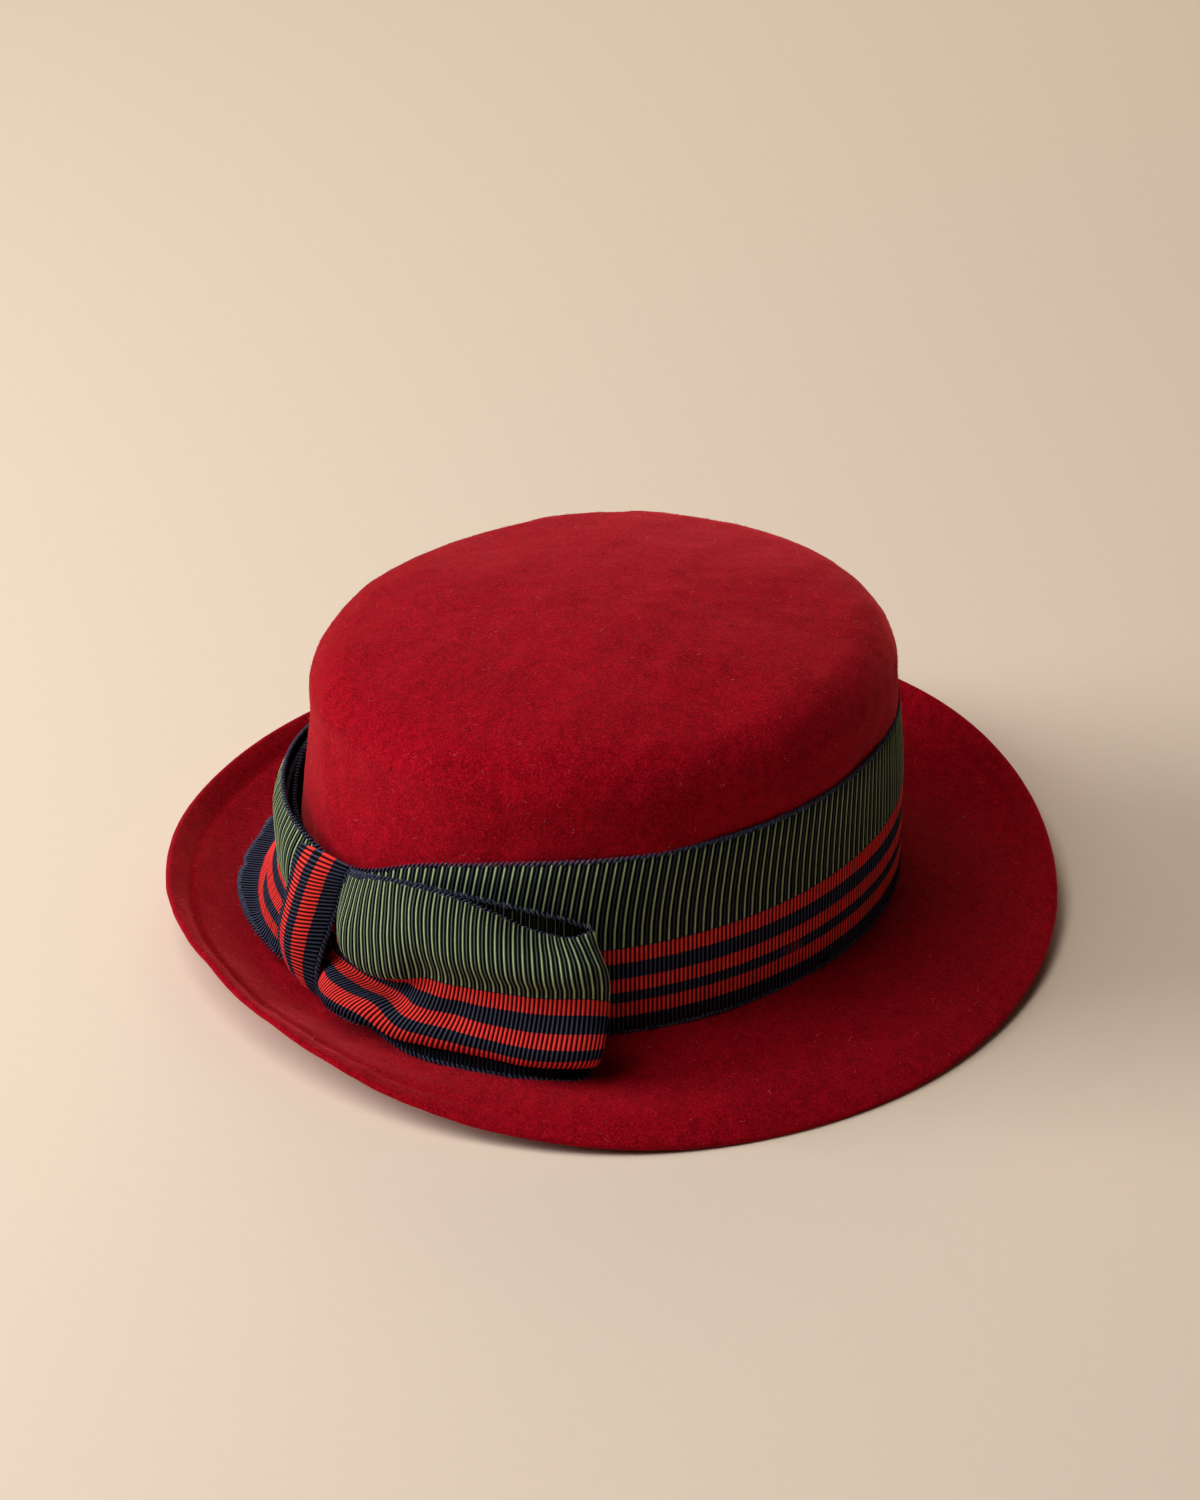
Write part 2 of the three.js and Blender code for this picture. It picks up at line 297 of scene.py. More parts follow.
@dataclass(frozen=True)
class BandTable:
    """How far the band's top edge stands off the felt by bearing, and how high it is."""

    bearings: tuple[float, ...] = (0, 30, 60, 75, 90, 105, 120, 150, 180, 210, 250, 290, 330)
    stand: tuple[float, ...] = (1, 2, 2.6, 2.7, 1.4, 0.8, 0.6, 0.5, 0.4, 0.1, 0.3, 0.6, 0.8)
    top: tuple[float, ...] = (
        65.5, 60, 54.5, 54.5, 55.6, 64.3, 69.2, 71.8, 73.2, 74.2, 72, 69.5, 67.5,
    )
    foot_stand: float = 0.5
    foot_height: float = 10.7
    flare: float = 2.6
    wall: float = 0.5

    def top_edge(self, bearing: np.ndarray) -> np.ndarray:
        """Tell how high the band's top edge is."""
        return around(self.bearings, self.top, bearing)

    def face(self, bearing: np.ndarray, height: np.ndarray) -> np.ndarray:
        """Tell how far the band's outer face stands off the felt.

        Args:
            bearing: Bearings in degrees.
            height: Heights on the crown.

        Returns:
            Offsets in millimetres.
        """
        share = (height - self.foot_height) / (self.top_edge(bearing) - self.foot_height)
        stand = around(self.bearings, self.stand, bearing)
        return lerp(self.foot_stand, stand, np.clip(share, 0, 1) ** self.flare) + self.wall


class Spot(NamedTuple):
    """A place beside the crown: bearing, distance outside the head's oval, and height."""

    bearing: float
    out: float
    height: float


class KnotLine(NamedTuple):
    """One line across the knot's face, from its folded edge to its hem."""

    fold: Spot
    middle: Spot
    hem: Spot


class Section(NamedTuple):
    """One rib of a bow's loop, from the ribbon's top edge down to its hem.

    Its three bearings are those of the top edge, the middle and the hem. Its outs say how far
    the cloth stands outside the head's oval at each share of OUT_SHARES across the ribbon.
    """

    bearings: tuple[float, float, float]
    top: float
    hem: float
    outs: tuple[float, ...]


EDGE_MIDDLE_HEM = (0, 0.5, 1)
OUT_SHARES = (0, 0.13, 0.3, 0.5, 0.6, 0.69, 0.83, 0.92, 1)


@dataclass(frozen=True)
class Pleat:
    """A pinched fold along a ribbon that hides a strip of it."""

    middle: float
    half: float
    reach: float
    depth: float
    starts: float
    full: float

    def take(self, along: np.ndarray, share: np.ndarray) -> tuple[np.ndarray, np.ndarray]:
        """Draw the cloth together over the hidden strip.

        Args:
            along: Places along the ribbon, in millimetres.
            share: Shares of the ribbon's width.

        Returns:
            The shares at which the cloth lies, and how far it is sunk, in millimetres.
        """
        taken = self.half * smoothstep(along, self.starts, self.full)
        away = share - self.middle
        far = np.abs(away)
        drawn = np.maximum(far - taken, 0) * self.reach / (self.reach - taken)
        lies = np.where(far < self.reach, self.middle + np.sign(away) * drawn, share)
        sunk = self.depth * np.maximum(1 - far / np.maximum(taken, TINY), 0)
        return lies, sunk


class Crease(NamedTuple):
    """A tuck in a ribbon: where it runs, along and across, how deep and how wide it is."""

    path: tuple[tuple[float, float], ...]
    depths: tuple[float, ...]
    width: float


# ---------- Meshes ----------


class Skin:
    """Collects grids of points and their faces, and makes one mesh of them."""

    def __init__(self) -> None:
        """Start with nothing."""
        self.points: list[Grid] = []
        self.faces: list[np.ndarray] = []
        self.count = 0

    def add(self, grid: Grid) -> np.ndarray:
        """Add points.

        Args:
            grid: The points, with x, y and z last.

        Returns:
            Their indices, in the grid's own shape.
        """
        flat = np.asarray(grid, float).reshape(-1, 3)
        indices = np.arange(self.count, self.count + len(flat)).reshape(np.shape(grid)[:-1])
        self.points.append(flat)
        self.count += len(flat)
        return indices

    def strip(self, first: np.ndarray, second: np.ndarray, closed: bool = False) -> None:
        """Join two lines of indices with quads.

        Args:
            first: One line.
            second: The other, of the same length.
            closed: Whether the lines' ends meet.
        """
        if closed:
            first, second = np.append(first, first[0]), np.append(second, second[0])
        self.faces.append(np.stack([first[:-1], second[:-1], second[1:], first[1:]], -1))

    def sheet(self, indices: np.ndarray, closed: bool = False) -> None:
        """Join each row of a grid of indices to the next.

        Args:
            indices: The grid's indices.
            closed: Whether the rows' own ends meet.
        """
        for first, second in zip(indices[:-1], indices[1:]):
            self.strip(first, second, closed)

    def fan(self, centre: int, ring: np.ndarray) -> None:
        """Join a closed ring to one point with triangles."""
        after = np.roll(ring, -1)
        self.faces.append(np.stack([np.full_like(ring, centre), ring, after], -1))

    def mesh(self, name: str) -> bpy.types.Mesh:
        """Make the mesh in metres, smooth, with its faces as they were added.

        Args:
            name: The mesh's name.

        Returns:
            The mesh.
        """
        made = bpy.data.meshes.new(name)
        faces = [tuple(face) for block in self.faces for face in block.tolist()]
        made.from_pydata((np.concatenate(self.points) * MM).tolist(), [], faces)
        made.shade_smooth()
        made.update()
        return made


def place(name: str, mesh: bpy.types.ID) -> bpy.types.Object:
    """Put an object in the scene at the origin.

    Args:
        name: The object's name.
        mesh: What it holds: a mesh, a camera or a light.

    Returns:
        The object.
    """
    piece = bpy.data.objects.new(name, mesh)
    bpy.context.scene.collection.objects.link(piece)
    return piece


def store(mesh: bpy.types.Mesh, name: str, values: np.ndarray) -> None:
    """Keep a number, or a direction, at each of a mesh's points under a name.

    Args:
        mesh: The mesh.
        name: The attribute's name.
        values: One number or one direction for each point.
    """
    is_number = values.ndim == 1
    kind, key = ("FLOAT", "value") if is_number else ("FLOAT_VECTOR", "vector")
    mesh.attributes.new(name, kind, "POINT").data.foreach_set(key, values.reshape(-1))


def settle(piece: bpy.types.Object) -> bpy.types.Object:
    """Turn what a piece's modifiers make into its own plain mesh.

    Args:
        piece: An object with live modifiers.

    Returns:
        The same object, with no modifier left.
    """
    depsgraph = bpy.context.evaluated_depsgraph_get()
    plain = bpy.data.meshes.new_from_object(piece.evaluated_get(depsgraph))
    plain.name = piece.name
    piece.modifiers.clear()
    piece.data = plain
    return piece


# ---------- Node trees ----------


class Link:
    """A socket, or a plain number, that Python's operators turn into nodes."""

    def __init__(self, graph: "Graph", source: object) -> None:
        """Hold a socket of a graph, or a number."""
        self.graph = graph
        self.source = source

    def _math(self, operation: str, *others: object) -> "Link":
        """Add a Math node that takes this value and others."""
        values = dict(enumerate((self, *others)))
        return self.graph.node("ShaderNodeMath", values, operation=operation)

    def __add__(self, other: object) -> "Link":
        """Add."""
        return self._math("ADD", other)

    def __sub__(self, other: object) -> "Link":
        """Subtract."""
        return self._math("SUBTRACT", other)

    def __rsub__(self, other: object) -> "Link":
        """Subtract from a number."""
        return Link(self.graph, other)._math("SUBTRACT", self)

    def __mul__(self, other: object) -> "Link":
        """Multiply."""
        return self._math("MULTIPLY", other)

    def __pow__(self, other: object) -> "Link":
        """Raise to a power."""
        return self._math("POWER", other)

    def __mod__(self, other: object) -> "Link":
        """Take what a division leaves."""
        return self._math("FLOORED_MODULO", other)

    def __abs__(self) -> "Link":
        """Drop the sign."""
        return self._math("ABSOLUTE")

    def floor(self) -> "Link":
        """Round down."""
        return self._math("FLOOR")

    def sine(self) -> "Link":
        """Take the sine of an angle in radians."""
        return self._math("SINE")

    def above(self, edge: float) -> "Link":
        """Give 1 where the value is over an edge, else 0."""
        return self._math("GREATER_THAN", edge)

    def between(self, low: float, high: float) -> "Link":
        """Give 1 where the value lies between two edges, else 0."""
        return self.above(low) * (1 - self.above(high))

    def clamped(self) -> "Link":
        """Keep the value between 0 and 1."""
        return self._math("MAXIMUM", 0.0)._math("MINIMUM", 1.0)

    def ramp(self, low: float, gain: float) -> "Link":
        """Rise from 0 at low, by a gain for each unit, up to 1."""
        return ((self - low) * gain).clamped()


class Graph:
    """Builds a shader or geometry node tree."""

    def __init__(self, tree: bpy.types.NodeTree) -> None:
        """Work on an empty tree."""
        self.tree = tree

    @staticmethod
    def _socket(sockets: object, key: int | str) -> bpy.types.NodeSocket:
        """Find a socket.

        Args:
            sockets: A node's inputs or outputs.
            key: The socket's place, identifier or name.

        Returns:
            The socket.
        """
        if isinstance(key, int):
            return sockets[key]
        for socket in sockets:
            if socket.identifier == key:
                return socket
        return sockets[key]

    def make(self, kind: str, sockets: Mapping | None = None, **settings: object) -> bpy.types.Node:
        """Add one node.

        Args:
            kind: The node's type.
            sockets: Values or links for its inputs, by place, identifier or name.
            settings: Its properties, which are set first.

        Returns:
            The node.
        """
        node = self.tree.nodes.new(kind)
        for key, value in settings.items():
            setattr(node, key, value)
        for key, value in (sockets or {}).items():
            socket = self._socket(node.inputs, key)
            source = value.source if isinstance(value, Link) else value
            if isinstance(source, bpy.types.NodeSocket):
                self.tree.links.new(source, socket)
            else:
                socket.default_value = source
        return node

    def node(
        self,
        kind: str,
        sockets: Mapping | None = None,
        output: int | str = 0,
        **settings: object,
    ) -> Link:
        """Add one node and hold one of its outputs.

        Args:
            kind: The node's type.
            sockets: Values or links for its inputs.
            output: Which output to hold.
            settings: The node's properties.

        Returns:
            The output.
        """
        return Link(self, self._socket(self.make(kind, sockets, **settings).outputs, output))

    def mix(self, share: object, first: object, second: object, blend: str = "MIX") -> Link:
        """Mix two colours.

        Args:
            share: How much of the second.
            first: A colour or its link.
            second: Another.
            blend: The way of mixing.

        Returns:
            The mixed colour.
        """
        paint = [
            (*colour, 1) if isinstance(colour, tuple) else colour for colour in (first, second)
        ]
        return self.node(
            "ShaderNodeMix",
            {"Factor_Float": share, "A_Color": paint[0], "B_Color": paint[1]},
            "Result_Color",
            data_type="RGBA",
            blend_type=blend,
        )

    def object_place(self) -> Link:
        """Read a point's place in its object, in metres."""
        return self.node("ShaderNodeTexCoord", output="Object")

    def noise(self, scale: float, detail: float = 2, rough: float = 0.5) -> Link:
        """Add a noise between 0 and 1, fixed to the object.

        Args:
            scale: Bumps in a metre.
            detail: Finer layers.
            rough: Their strength.

        Returns:
            The noise.
        """
        return self.node(
            "ShaderNodeTexNoise",
            {"Vector": self.object_place(), "Scale": scale, "Detail": detail, "Roughness": rough},
            "Fac",
        )

    def bump(self, height: Link, strength: float, distance: float) -> Link:
        """Turn a height into a bumped normal."""
        sockets = {"Strength": strength, "Distance": distance, "Height": height}
        return self.node("ShaderNodeBump", sockets)

    def attribute(self, name: str, kind: str = "FLOAT") -> Link:
        """Read a value that the mesh keeps under a name."""
        return self.node("GeometryNodeInputNamedAttribute", {"Name": name}, data_type=kind)

    def random(self, low: object, high: object, seed: object, **more: object) -> Link:
        """Draw a number for each element.

        Args:
            low: The least.
            high: The most.
            seed: The draw's seed.
            more: Other inputs by name.

        Returns:
            The number.
        """
        sockets = {"Min_001": low, "Max_001": high, "Seed": seed, **more}
        return self.node("FunctionNodeRandomValue", sockets, "Value_001", data_type="FLOAT")

    def vector(self, x: object = 0.0, y: object = 0.0, z: object = 0.0) -> Link:
        """Join three numbers."""
        return self.node("ShaderNodeCombineXYZ", {0: x, 1: y, 2: z})

    def finish(self, **inputs: object) -> None:
        """End a material's tree with one soft surface.

        Args:
            inputs: The surface's inputs, with _ for a space in their names.
        """
        sockets = {key.replace("_", " "): value for key, value in inputs.items()}
        surface = self.node("ShaderNodeBsdfPrincipled", sockets)
        self.make("ShaderNodeOutputMaterial", {"Surface": surface})


def shader_graph(name: str) -> tuple[bpy.types.Material, Graph]:
    """Make a material with an empty tree.

    Args:
        name: The material's name.

    Returns:
        The material and its tree.
    """
    material = bpy.data.materials.new(name)
    material.use_nodes = True
    material.node_tree.nodes.clear()
    return material, Graph(material.node_tree)


class Kind(Enum):
    """What a geometry tree's named input holds."""

    NUMBER = "NodeSocketFloat"
    WHOLE = "NodeSocketInt"


class Recipe:
    """A geometry node tree with named inputs, for one kind of repeated detail."""

    def __init__(self, name: str, inputs: Mapping[str, Kind]) -> None:
        """Make the tree's sockets.

        Args:
            name: The tree's name.
            inputs: What its inputs after the geometry are called and hold.
        """
        self.tree = bpy.data.node_groups.new(name, "GeometryNodeTree")
        self.graph = Graph(self.tree)
        self.keys: dict[str, str] = {}
        face = self.tree.interface
        for way in ("INPUT", "OUTPUT"):
            face.new_socket("Geometry", in_out=way, socket_type="NodeSocketGeometry")
        for label, kind in inputs.items():
            socket = face.new_socket(label, in_out="INPUT", socket_type=kind.value)
            self.keys[label] = socket.identifier
        self.source = self.graph.make("NodeGroupInput")

    def read(self, name: str) -> Link:
        """Hold one of the tree's inputs."""
        return Link(self.graph, self.source.outputs[name])

    def close(self, geometry: Link, material: bpy.types.Material) -> None:
        """End the tree: what it made becomes real and takes its material.

        Args:
            geometry: What the tree made.
            material: Its finish.
        """
        real = self.graph.node("GeometryNodeRealizeInstances", {"Geometry": geometry})
        dressed = self.graph.node(
            "GeometryNodeSetMaterial", {"Geometry": real, "Material": material}
        )
        self.graph.make("NodeGroupOutput", {0: dressed})

    def use(self, piece: bpy.types.Object, values: Mapping[str, float | int]) -> None:
        """Put the tree on a piece, with its inputs set.

        Args:
            piece: The piece that it works on.
            values: Inputs by name.
        """
        modifier = piece.modifiers.new(self.tree.name, "NODES")
        modifier.node_group = self.tree
        for name, value in values.items():
            modifier[self.keys[name]] = value


# ---------- Finishes ----------


class Grain(NamedTuple):
    """One layer of a felt's grain: bumps in a metre, finer layers, their strength, its weight."""

    scale: float
    detail: float
    rough: float
    weight: float


@dataclass(frozen=True)
class FeltFinish:
    """Blocked wool felt, brushed to a short nap."""

    deep: Colour = (0.160, 0.0006, 0.0050)
    bright: Colour = (0.370, 0.0028, 0.0120)
    bloom: Colour = (0.72, 0.014, 0.028)
    cloud: Grain = Grain(45, 3, 0.55, 0.5)
    patch: Grain = Grain(300, 3, 0.60, 1.2)
    fleck: Grain = Grain(1500, 2, 0.70, 2.5)
    bloom_starts: float = 0.56
    bloom_gain: float = 6.0
    bloom_share: float = 0.35
    fleck_height: float = 0.7
    patch_height: float = 0.3
    bump_strength: float = 0.6
    bump_distance: float = 0.5 * MM
    roughness: float = 0.95
    specular: float = 0.02
    sheen: float = 1.0
    sheen_tint: Colour = (1.0, 0.085, 0.100)
    sheen_roughness: float = 0.38

    def material(self, name: str) -> bpy.types.Material:
        """Make the finish.

        Args:
            name: The material's name.

        Returns:
            The material.
        """
        material, graph = shader_graph(name)
        grains = (self.cloud, self.patch, self.fleck)
        cloud, patch, fleck = (graph.noise(*grain[:3]) for grain in grains)
        tone = (cloud - 0.5) * self.cloud.weight + (patch - 0.5) * self.patch.weight
        tone = (tone + (fleck - 0.5) * self.fleck.weight + 0.5).clamped()
        base = graph.mix(tone, self.deep, self.bright)
        bloom = fleck.ramp(self.bloom_starts, self.bloom_gain) * self.bloom_share
        height = fleck * self.fleck_height + patch * self.patch_height
        graph.finish(
            Base_Color=graph.mix(bloom, base, self.bloom),
            Roughness=self.roughness,
            Sheen_Weight=self.sheen,
            Sheen_Roughness=self.sheen_roughness,
            Sheen_Tint=(*self.sheen_tint, 1),
            Specular_IOR_Level=self.specular,
            Normal=graph.bump(height, self.bump_strength, self.bump_distance),
        )
        return material


@dataclass(frozen=True)
class StrandFinish:
    """Wool or cotton strands whose colour drifts between two tones."""

    colour: Colour
    second: Colour
    scale: float
    rough: float
    starts: float
    gain: float
    roughness: float
    specular: float

    def material(self, name: str) -> bpy.types.Material:
        """Make the finish.

        Args:
            name: The material's name.

        Returns:
            The material.
        """
        material, graph = shader_graph(name)
        drift = graph.noise(self.scale, rough=self.rough).ramp(self.starts, self.gain)
        graph.finish(
            Base_Color=graph.mix(drift, self.colour, self.second),
            Roughness=self.roughness,
            Specular_IOR_Level=self.specular,
        )
        return material


WOOL_NAP = StrandFinish(
    colour=(0.24, 0.002, 0.009), second=(0.60, 0.030, 0.040),
    scale=2200, rough=0.5, starts=0.42, gain=5.0, roughness=0.8, specular=0.1,
)
WOOL_LINT = replace(WOOL_NAP, colour=(0.58, 0.07, 0.08), second=(0.80, 0.38, 0.34))
NAVY_CORD = StrandFinish(
    colour=(0.011, 0.013, 0.034), second=(0.105, 0.116, 0.195),
    scale=1500, rough=0.6, starts=0.35, gain=2.4, roughness=0.7, specular=0.12,
)


@dataclass(frozen=True)
class RibbonFinish:
    """Grosgrain: a green half with navy ribs between, and a half with red stripes on navy."""

    uv: str = "ribbon"
    line: float = 0.506
    stripes: tuple[tuple[float, float], ...] = ((0.512, 0.596), (0.688, 0.766), (0.828, 0.909))
    # Each gap colour is painted shade between two ribs. Each crest colour is the yarn's colour on a
    # rib's top, brightened by painted highlight.
    navy_gap_shade: Colour = (0.0008, 0.0009, 0.0020)
    navy_crest: Colour = (0.058, 0.069, 0.130)
    red_gap_shade: Colour = (0.035, 0.0004, 0.0008)
    red_crest: Colour = (0.92, 0.048, 0.042)
    green_gap_shade: Colour = (0.0016, 0.0022, 0.0012)
    green_crest: Colour = (0.130, 0.175, 0.090)
    # A painted highlight along the green ribs' crests.
    green_painted_highlight: Colour = (0.540, 0.680, 0.350)
    slate_crest: Colour = (0.040, 0.052, 0.062)
    # How far each crest colour reaches before the painted shade between the ribs: broad for green
    # and red, narrow for navy and slate, narrowest for the green ribs' painted highlight.
    broad_rib: tuple[float, float] = (0.30, 2.6)
    narrow_rib: tuple[float, float] = (0.56, 3.0)
    highlight_ramp: tuple[float, float] = (0.62, 3.2)
    highlight_share: float = 0.75
    wear: Colour = (0.55, 0.55, 0.55)
    wear_scale: float = 500.0
    wear_ramp: tuple[float, float] = (0.35, 1.8)
    wear_share: float = 0.35
    thread_turns: float = 1050.0
    thread_height: float = 0.5
    bump_strength: float = 0.3
    bump_distance: float = 0.2 * MM
    roughness: float = 0.8
    specular: float = 0.07

    def _cloth(self, graph: Graph, rib: Link, across: Link, crest: Link) -> Link:
        """Colour the ribs and stripes, with painted shade between ribs and painted highlights.

        Args:
            graph: The material's tree.
            rib: How many ribs along the ribbon a place is.
            across: Its share of the ribbon's width.
            crest: 1 on a rib's crest and 0 between two ribs.

        Returns:
            The colour.
        """
        # Mix each crest colour with the painted shade that lies between the ribs.
        broad, narrow, keen = (
            crest.ramp(*ramp) for ramp in (self.broad_rib, self.narrow_rib, self.highlight_ramp)
        )
        red = across.between(*self.stripes[0])
        for low, high in self.stripes[1:]:
            red = red + across.between(low, high)
        navy = graph.mix(narrow, self.navy_gap_shade, self.navy_crest)
        slate = graph.mix(narrow, self.navy_gap_shade, self.slate_crest)
        green = graph.mix(broad, self.green_gap_shade, self.green_crest)
        # Lay the painted highlight along the narrow top of each green rib's crest.
        green = graph.mix(keen * self.highlight_share, green, self.green_painted_highlight)
        striped = graph.mix((rib % 2.0).above(1.0), slate, green)
        ground = graph.mix(1 - across.above(self.line), navy, striped)
        return graph.mix(red, ground, graph.mix(broad, self.red_gap_shade, self.red_crest))

    def material(self, name: str) -> bpy.types.Material:
        """Make the finish.

        Args:
            name: The material's name.

        Returns:
            The material.
        """
        material, graph = shader_graph(name)
        where = graph.node("ShaderNodeUVMap", uv_map=self.uv)
        axes = graph.make("ShaderNodeSeparateXYZ", {0: where})
        rib, across = Link(graph, axes.outputs[0]), Link(graph, axes.outputs[1])
        crest = 1 - abs((rib % 1.0) * 2 - 1)
        worn = graph.noise(self.wear_scale, 3).ramp(*self.wear_ramp) * self.wear_share
        threads = (across * self.thread_turns).sine()
        height = threads * self.thread_height + crest
        graph.finish(
            Base_Color=graph.mix(
                worn, self._cloth(graph, rib, across, crest), self.wear, "MULTIPLY"
            ),
            Roughness=self.roughness,
            Specular_IOR_Level=self.specular,
            Normal=graph.bump(height, self.bump_strength, self.bump_distance),
        )
        return material


@dataclass(frozen=True)
class PaperFinish:
    """The pale seamless paper under and behind the hat."""

    colour: Colour = (0.82, 0.695, 0.575)
    paler: float = 1.03
    grain_scale: float = 220.0
    roughness: float = 0.9
    specular: float = 0.1

    def material(self, name: str) -> bpy.types.Material:
        """Make the finish.

        Args:
            name: The material's name.

        Returns:
            The material.
        """
        material, graph = shader_graph(name)
        paler = tuple(min(1.0, self.paler * part) for part in self.colour)
        graph.finish(
            Base_Color=graph.mix(graph.noise(self.grain_scale, 3), self.colour, paler),
            Roughness=self.roughness,
            Specular_IOR_Level=self.specular,
        )
        return material


# ---------- Repeated details ----------


@dataclass(frozen=True)
class Weave:
    """How the grosgrain is woven and its edges corded, in millimetres and degrees."""

    width: float = 60.0
    pitch: float = 1.4
    steps: int = 6
    wall: float = 0.45
    rib_height: float = 0.45
    rib_roundness: float = 0.8
    rib_least: float = 0.8
    rib_most: float = 1.15
    cord_radius: float = 1.3
    cord_pitch: float = 1.65
    cord_slant: float = 44.0
    cord_beyond: float = 0.25
    cord_sunk_share: float = 0.3
    strand_scale: tuple[float, float, float] = (1.05, 0.34, 0.6)
    strand_segments: int = 8
    strand_rings: int = 5


@dataclass(frozen=True)
class Dressing:
    """The finishes of one ribbon, and the trees that raise its ribs and lay its cords."""

    ribbon: bpy.types.Material
    cord: bpy.types.Material
    weave: Weave = Weave()

    def raise_ribs(self, piece: bpy.types.Object, seed: int) -> None:
        """Raise a rib at each step of a ribbon's length.

        Args:
            piece: The ribbon, whose mesh keeps a "rib_place".
            seed: The seed of the ribs' unevenness.
        """
        weave = self.weave
        recipe = Recipe("ribs", {"Rib Height": Kind.NUMBER, "Seed": Kind.WHOLE})
        graph = recipe.graph
        rib = graph.attribute("rib_place")
        uneven = graph.random(weave.rib_least, weave.rib_most, recipe.read("Seed"), ID=rib.floor())
        wave = abs((rib * math.pi).sine()) ** weave.rib_roundness
        sockets = {
            "Vector": graph.node("GeometryNodeInputNormal"),
            "Scale": wave * uneven * recipe.read("Rib Height"),
        }
        offset = graph.node("ShaderNodeVectorMath", sockets, operation="SCALE")
        raised = graph.node(
            "GeometryNodeSetPosition", {"Geometry": recipe.read("Geometry"), "Offset": offset}
        )
        recipe.close(raised, self.ribbon)
        recipe.use(piece, {"Rib Height": weave.rib_height * MM, "Seed": seed})

    def lay_cord(self, piece: bpy.types.Object) -> None:
        """Lay slanted strands along lines, as a twisted cord.

        Args:
            piece: The lines, whose mesh keeps a "face_out".
        """
        weave = self.weave
        recipe = Recipe(
            "edge_cord", {"Pitch": Kind.NUMBER, "Radius": Kind.NUMBER, "Slant": Kind.NUMBER}
        )
        graph = recipe.graph
        line = graph.node("GeometryNodeMeshToCurve", {0: recipe.read("Geometry")})
        even = graph.node(
            "GeometryNodeResampleCurve",
            {"Curve": line, "Length": recipe.read("Pitch")},
            mode="LENGTH",
        )
        size = {
            "Segments": weave.strand_segments,
            "Rings": weave.strand_rings,
            "Radius": recipe.read("Radius"),
        }
        strand = graph.node("GeometryNodeMeshUVSphere", size, "Mesh")
        turn = graph.vector(z=recipe.read("Slant"))
        shaped = graph.node(
            "GeometryNodeTransform",
            {"Geometry": strand, "Rotation": turn, "Scale": weave.strand_scale},
        )
        outward = graph.attribute("face_out", "FLOAT_VECTOR")
        facing = graph.node(
            "FunctionNodeAxesToRotation",
            {0: outward, 1: graph.node("GeometryNodeInputTangent")},
            primary_axis="Z",
            secondary_axis="X",
        )
        laid = graph.node(
            "GeometryNodeInstanceOnPoints",
            {"Points": even, "Instance": shaped, "Rotation": facing},
        )
        recipe.close(laid, self.cord)
        sizes = {
            "Pitch": weave.cord_pitch * MM,
            "Radius": weave.cord_radius * MM,
            "Slant": math.radians(weave.cord_slant),
        }
        recipe.use(piece, sizes)


class FibreShape(Enum):
    """How a fibre is made. Its value is the name of the tree that scatters it."""

    STRAIGHT = "nap"
    CURLED = "lint"


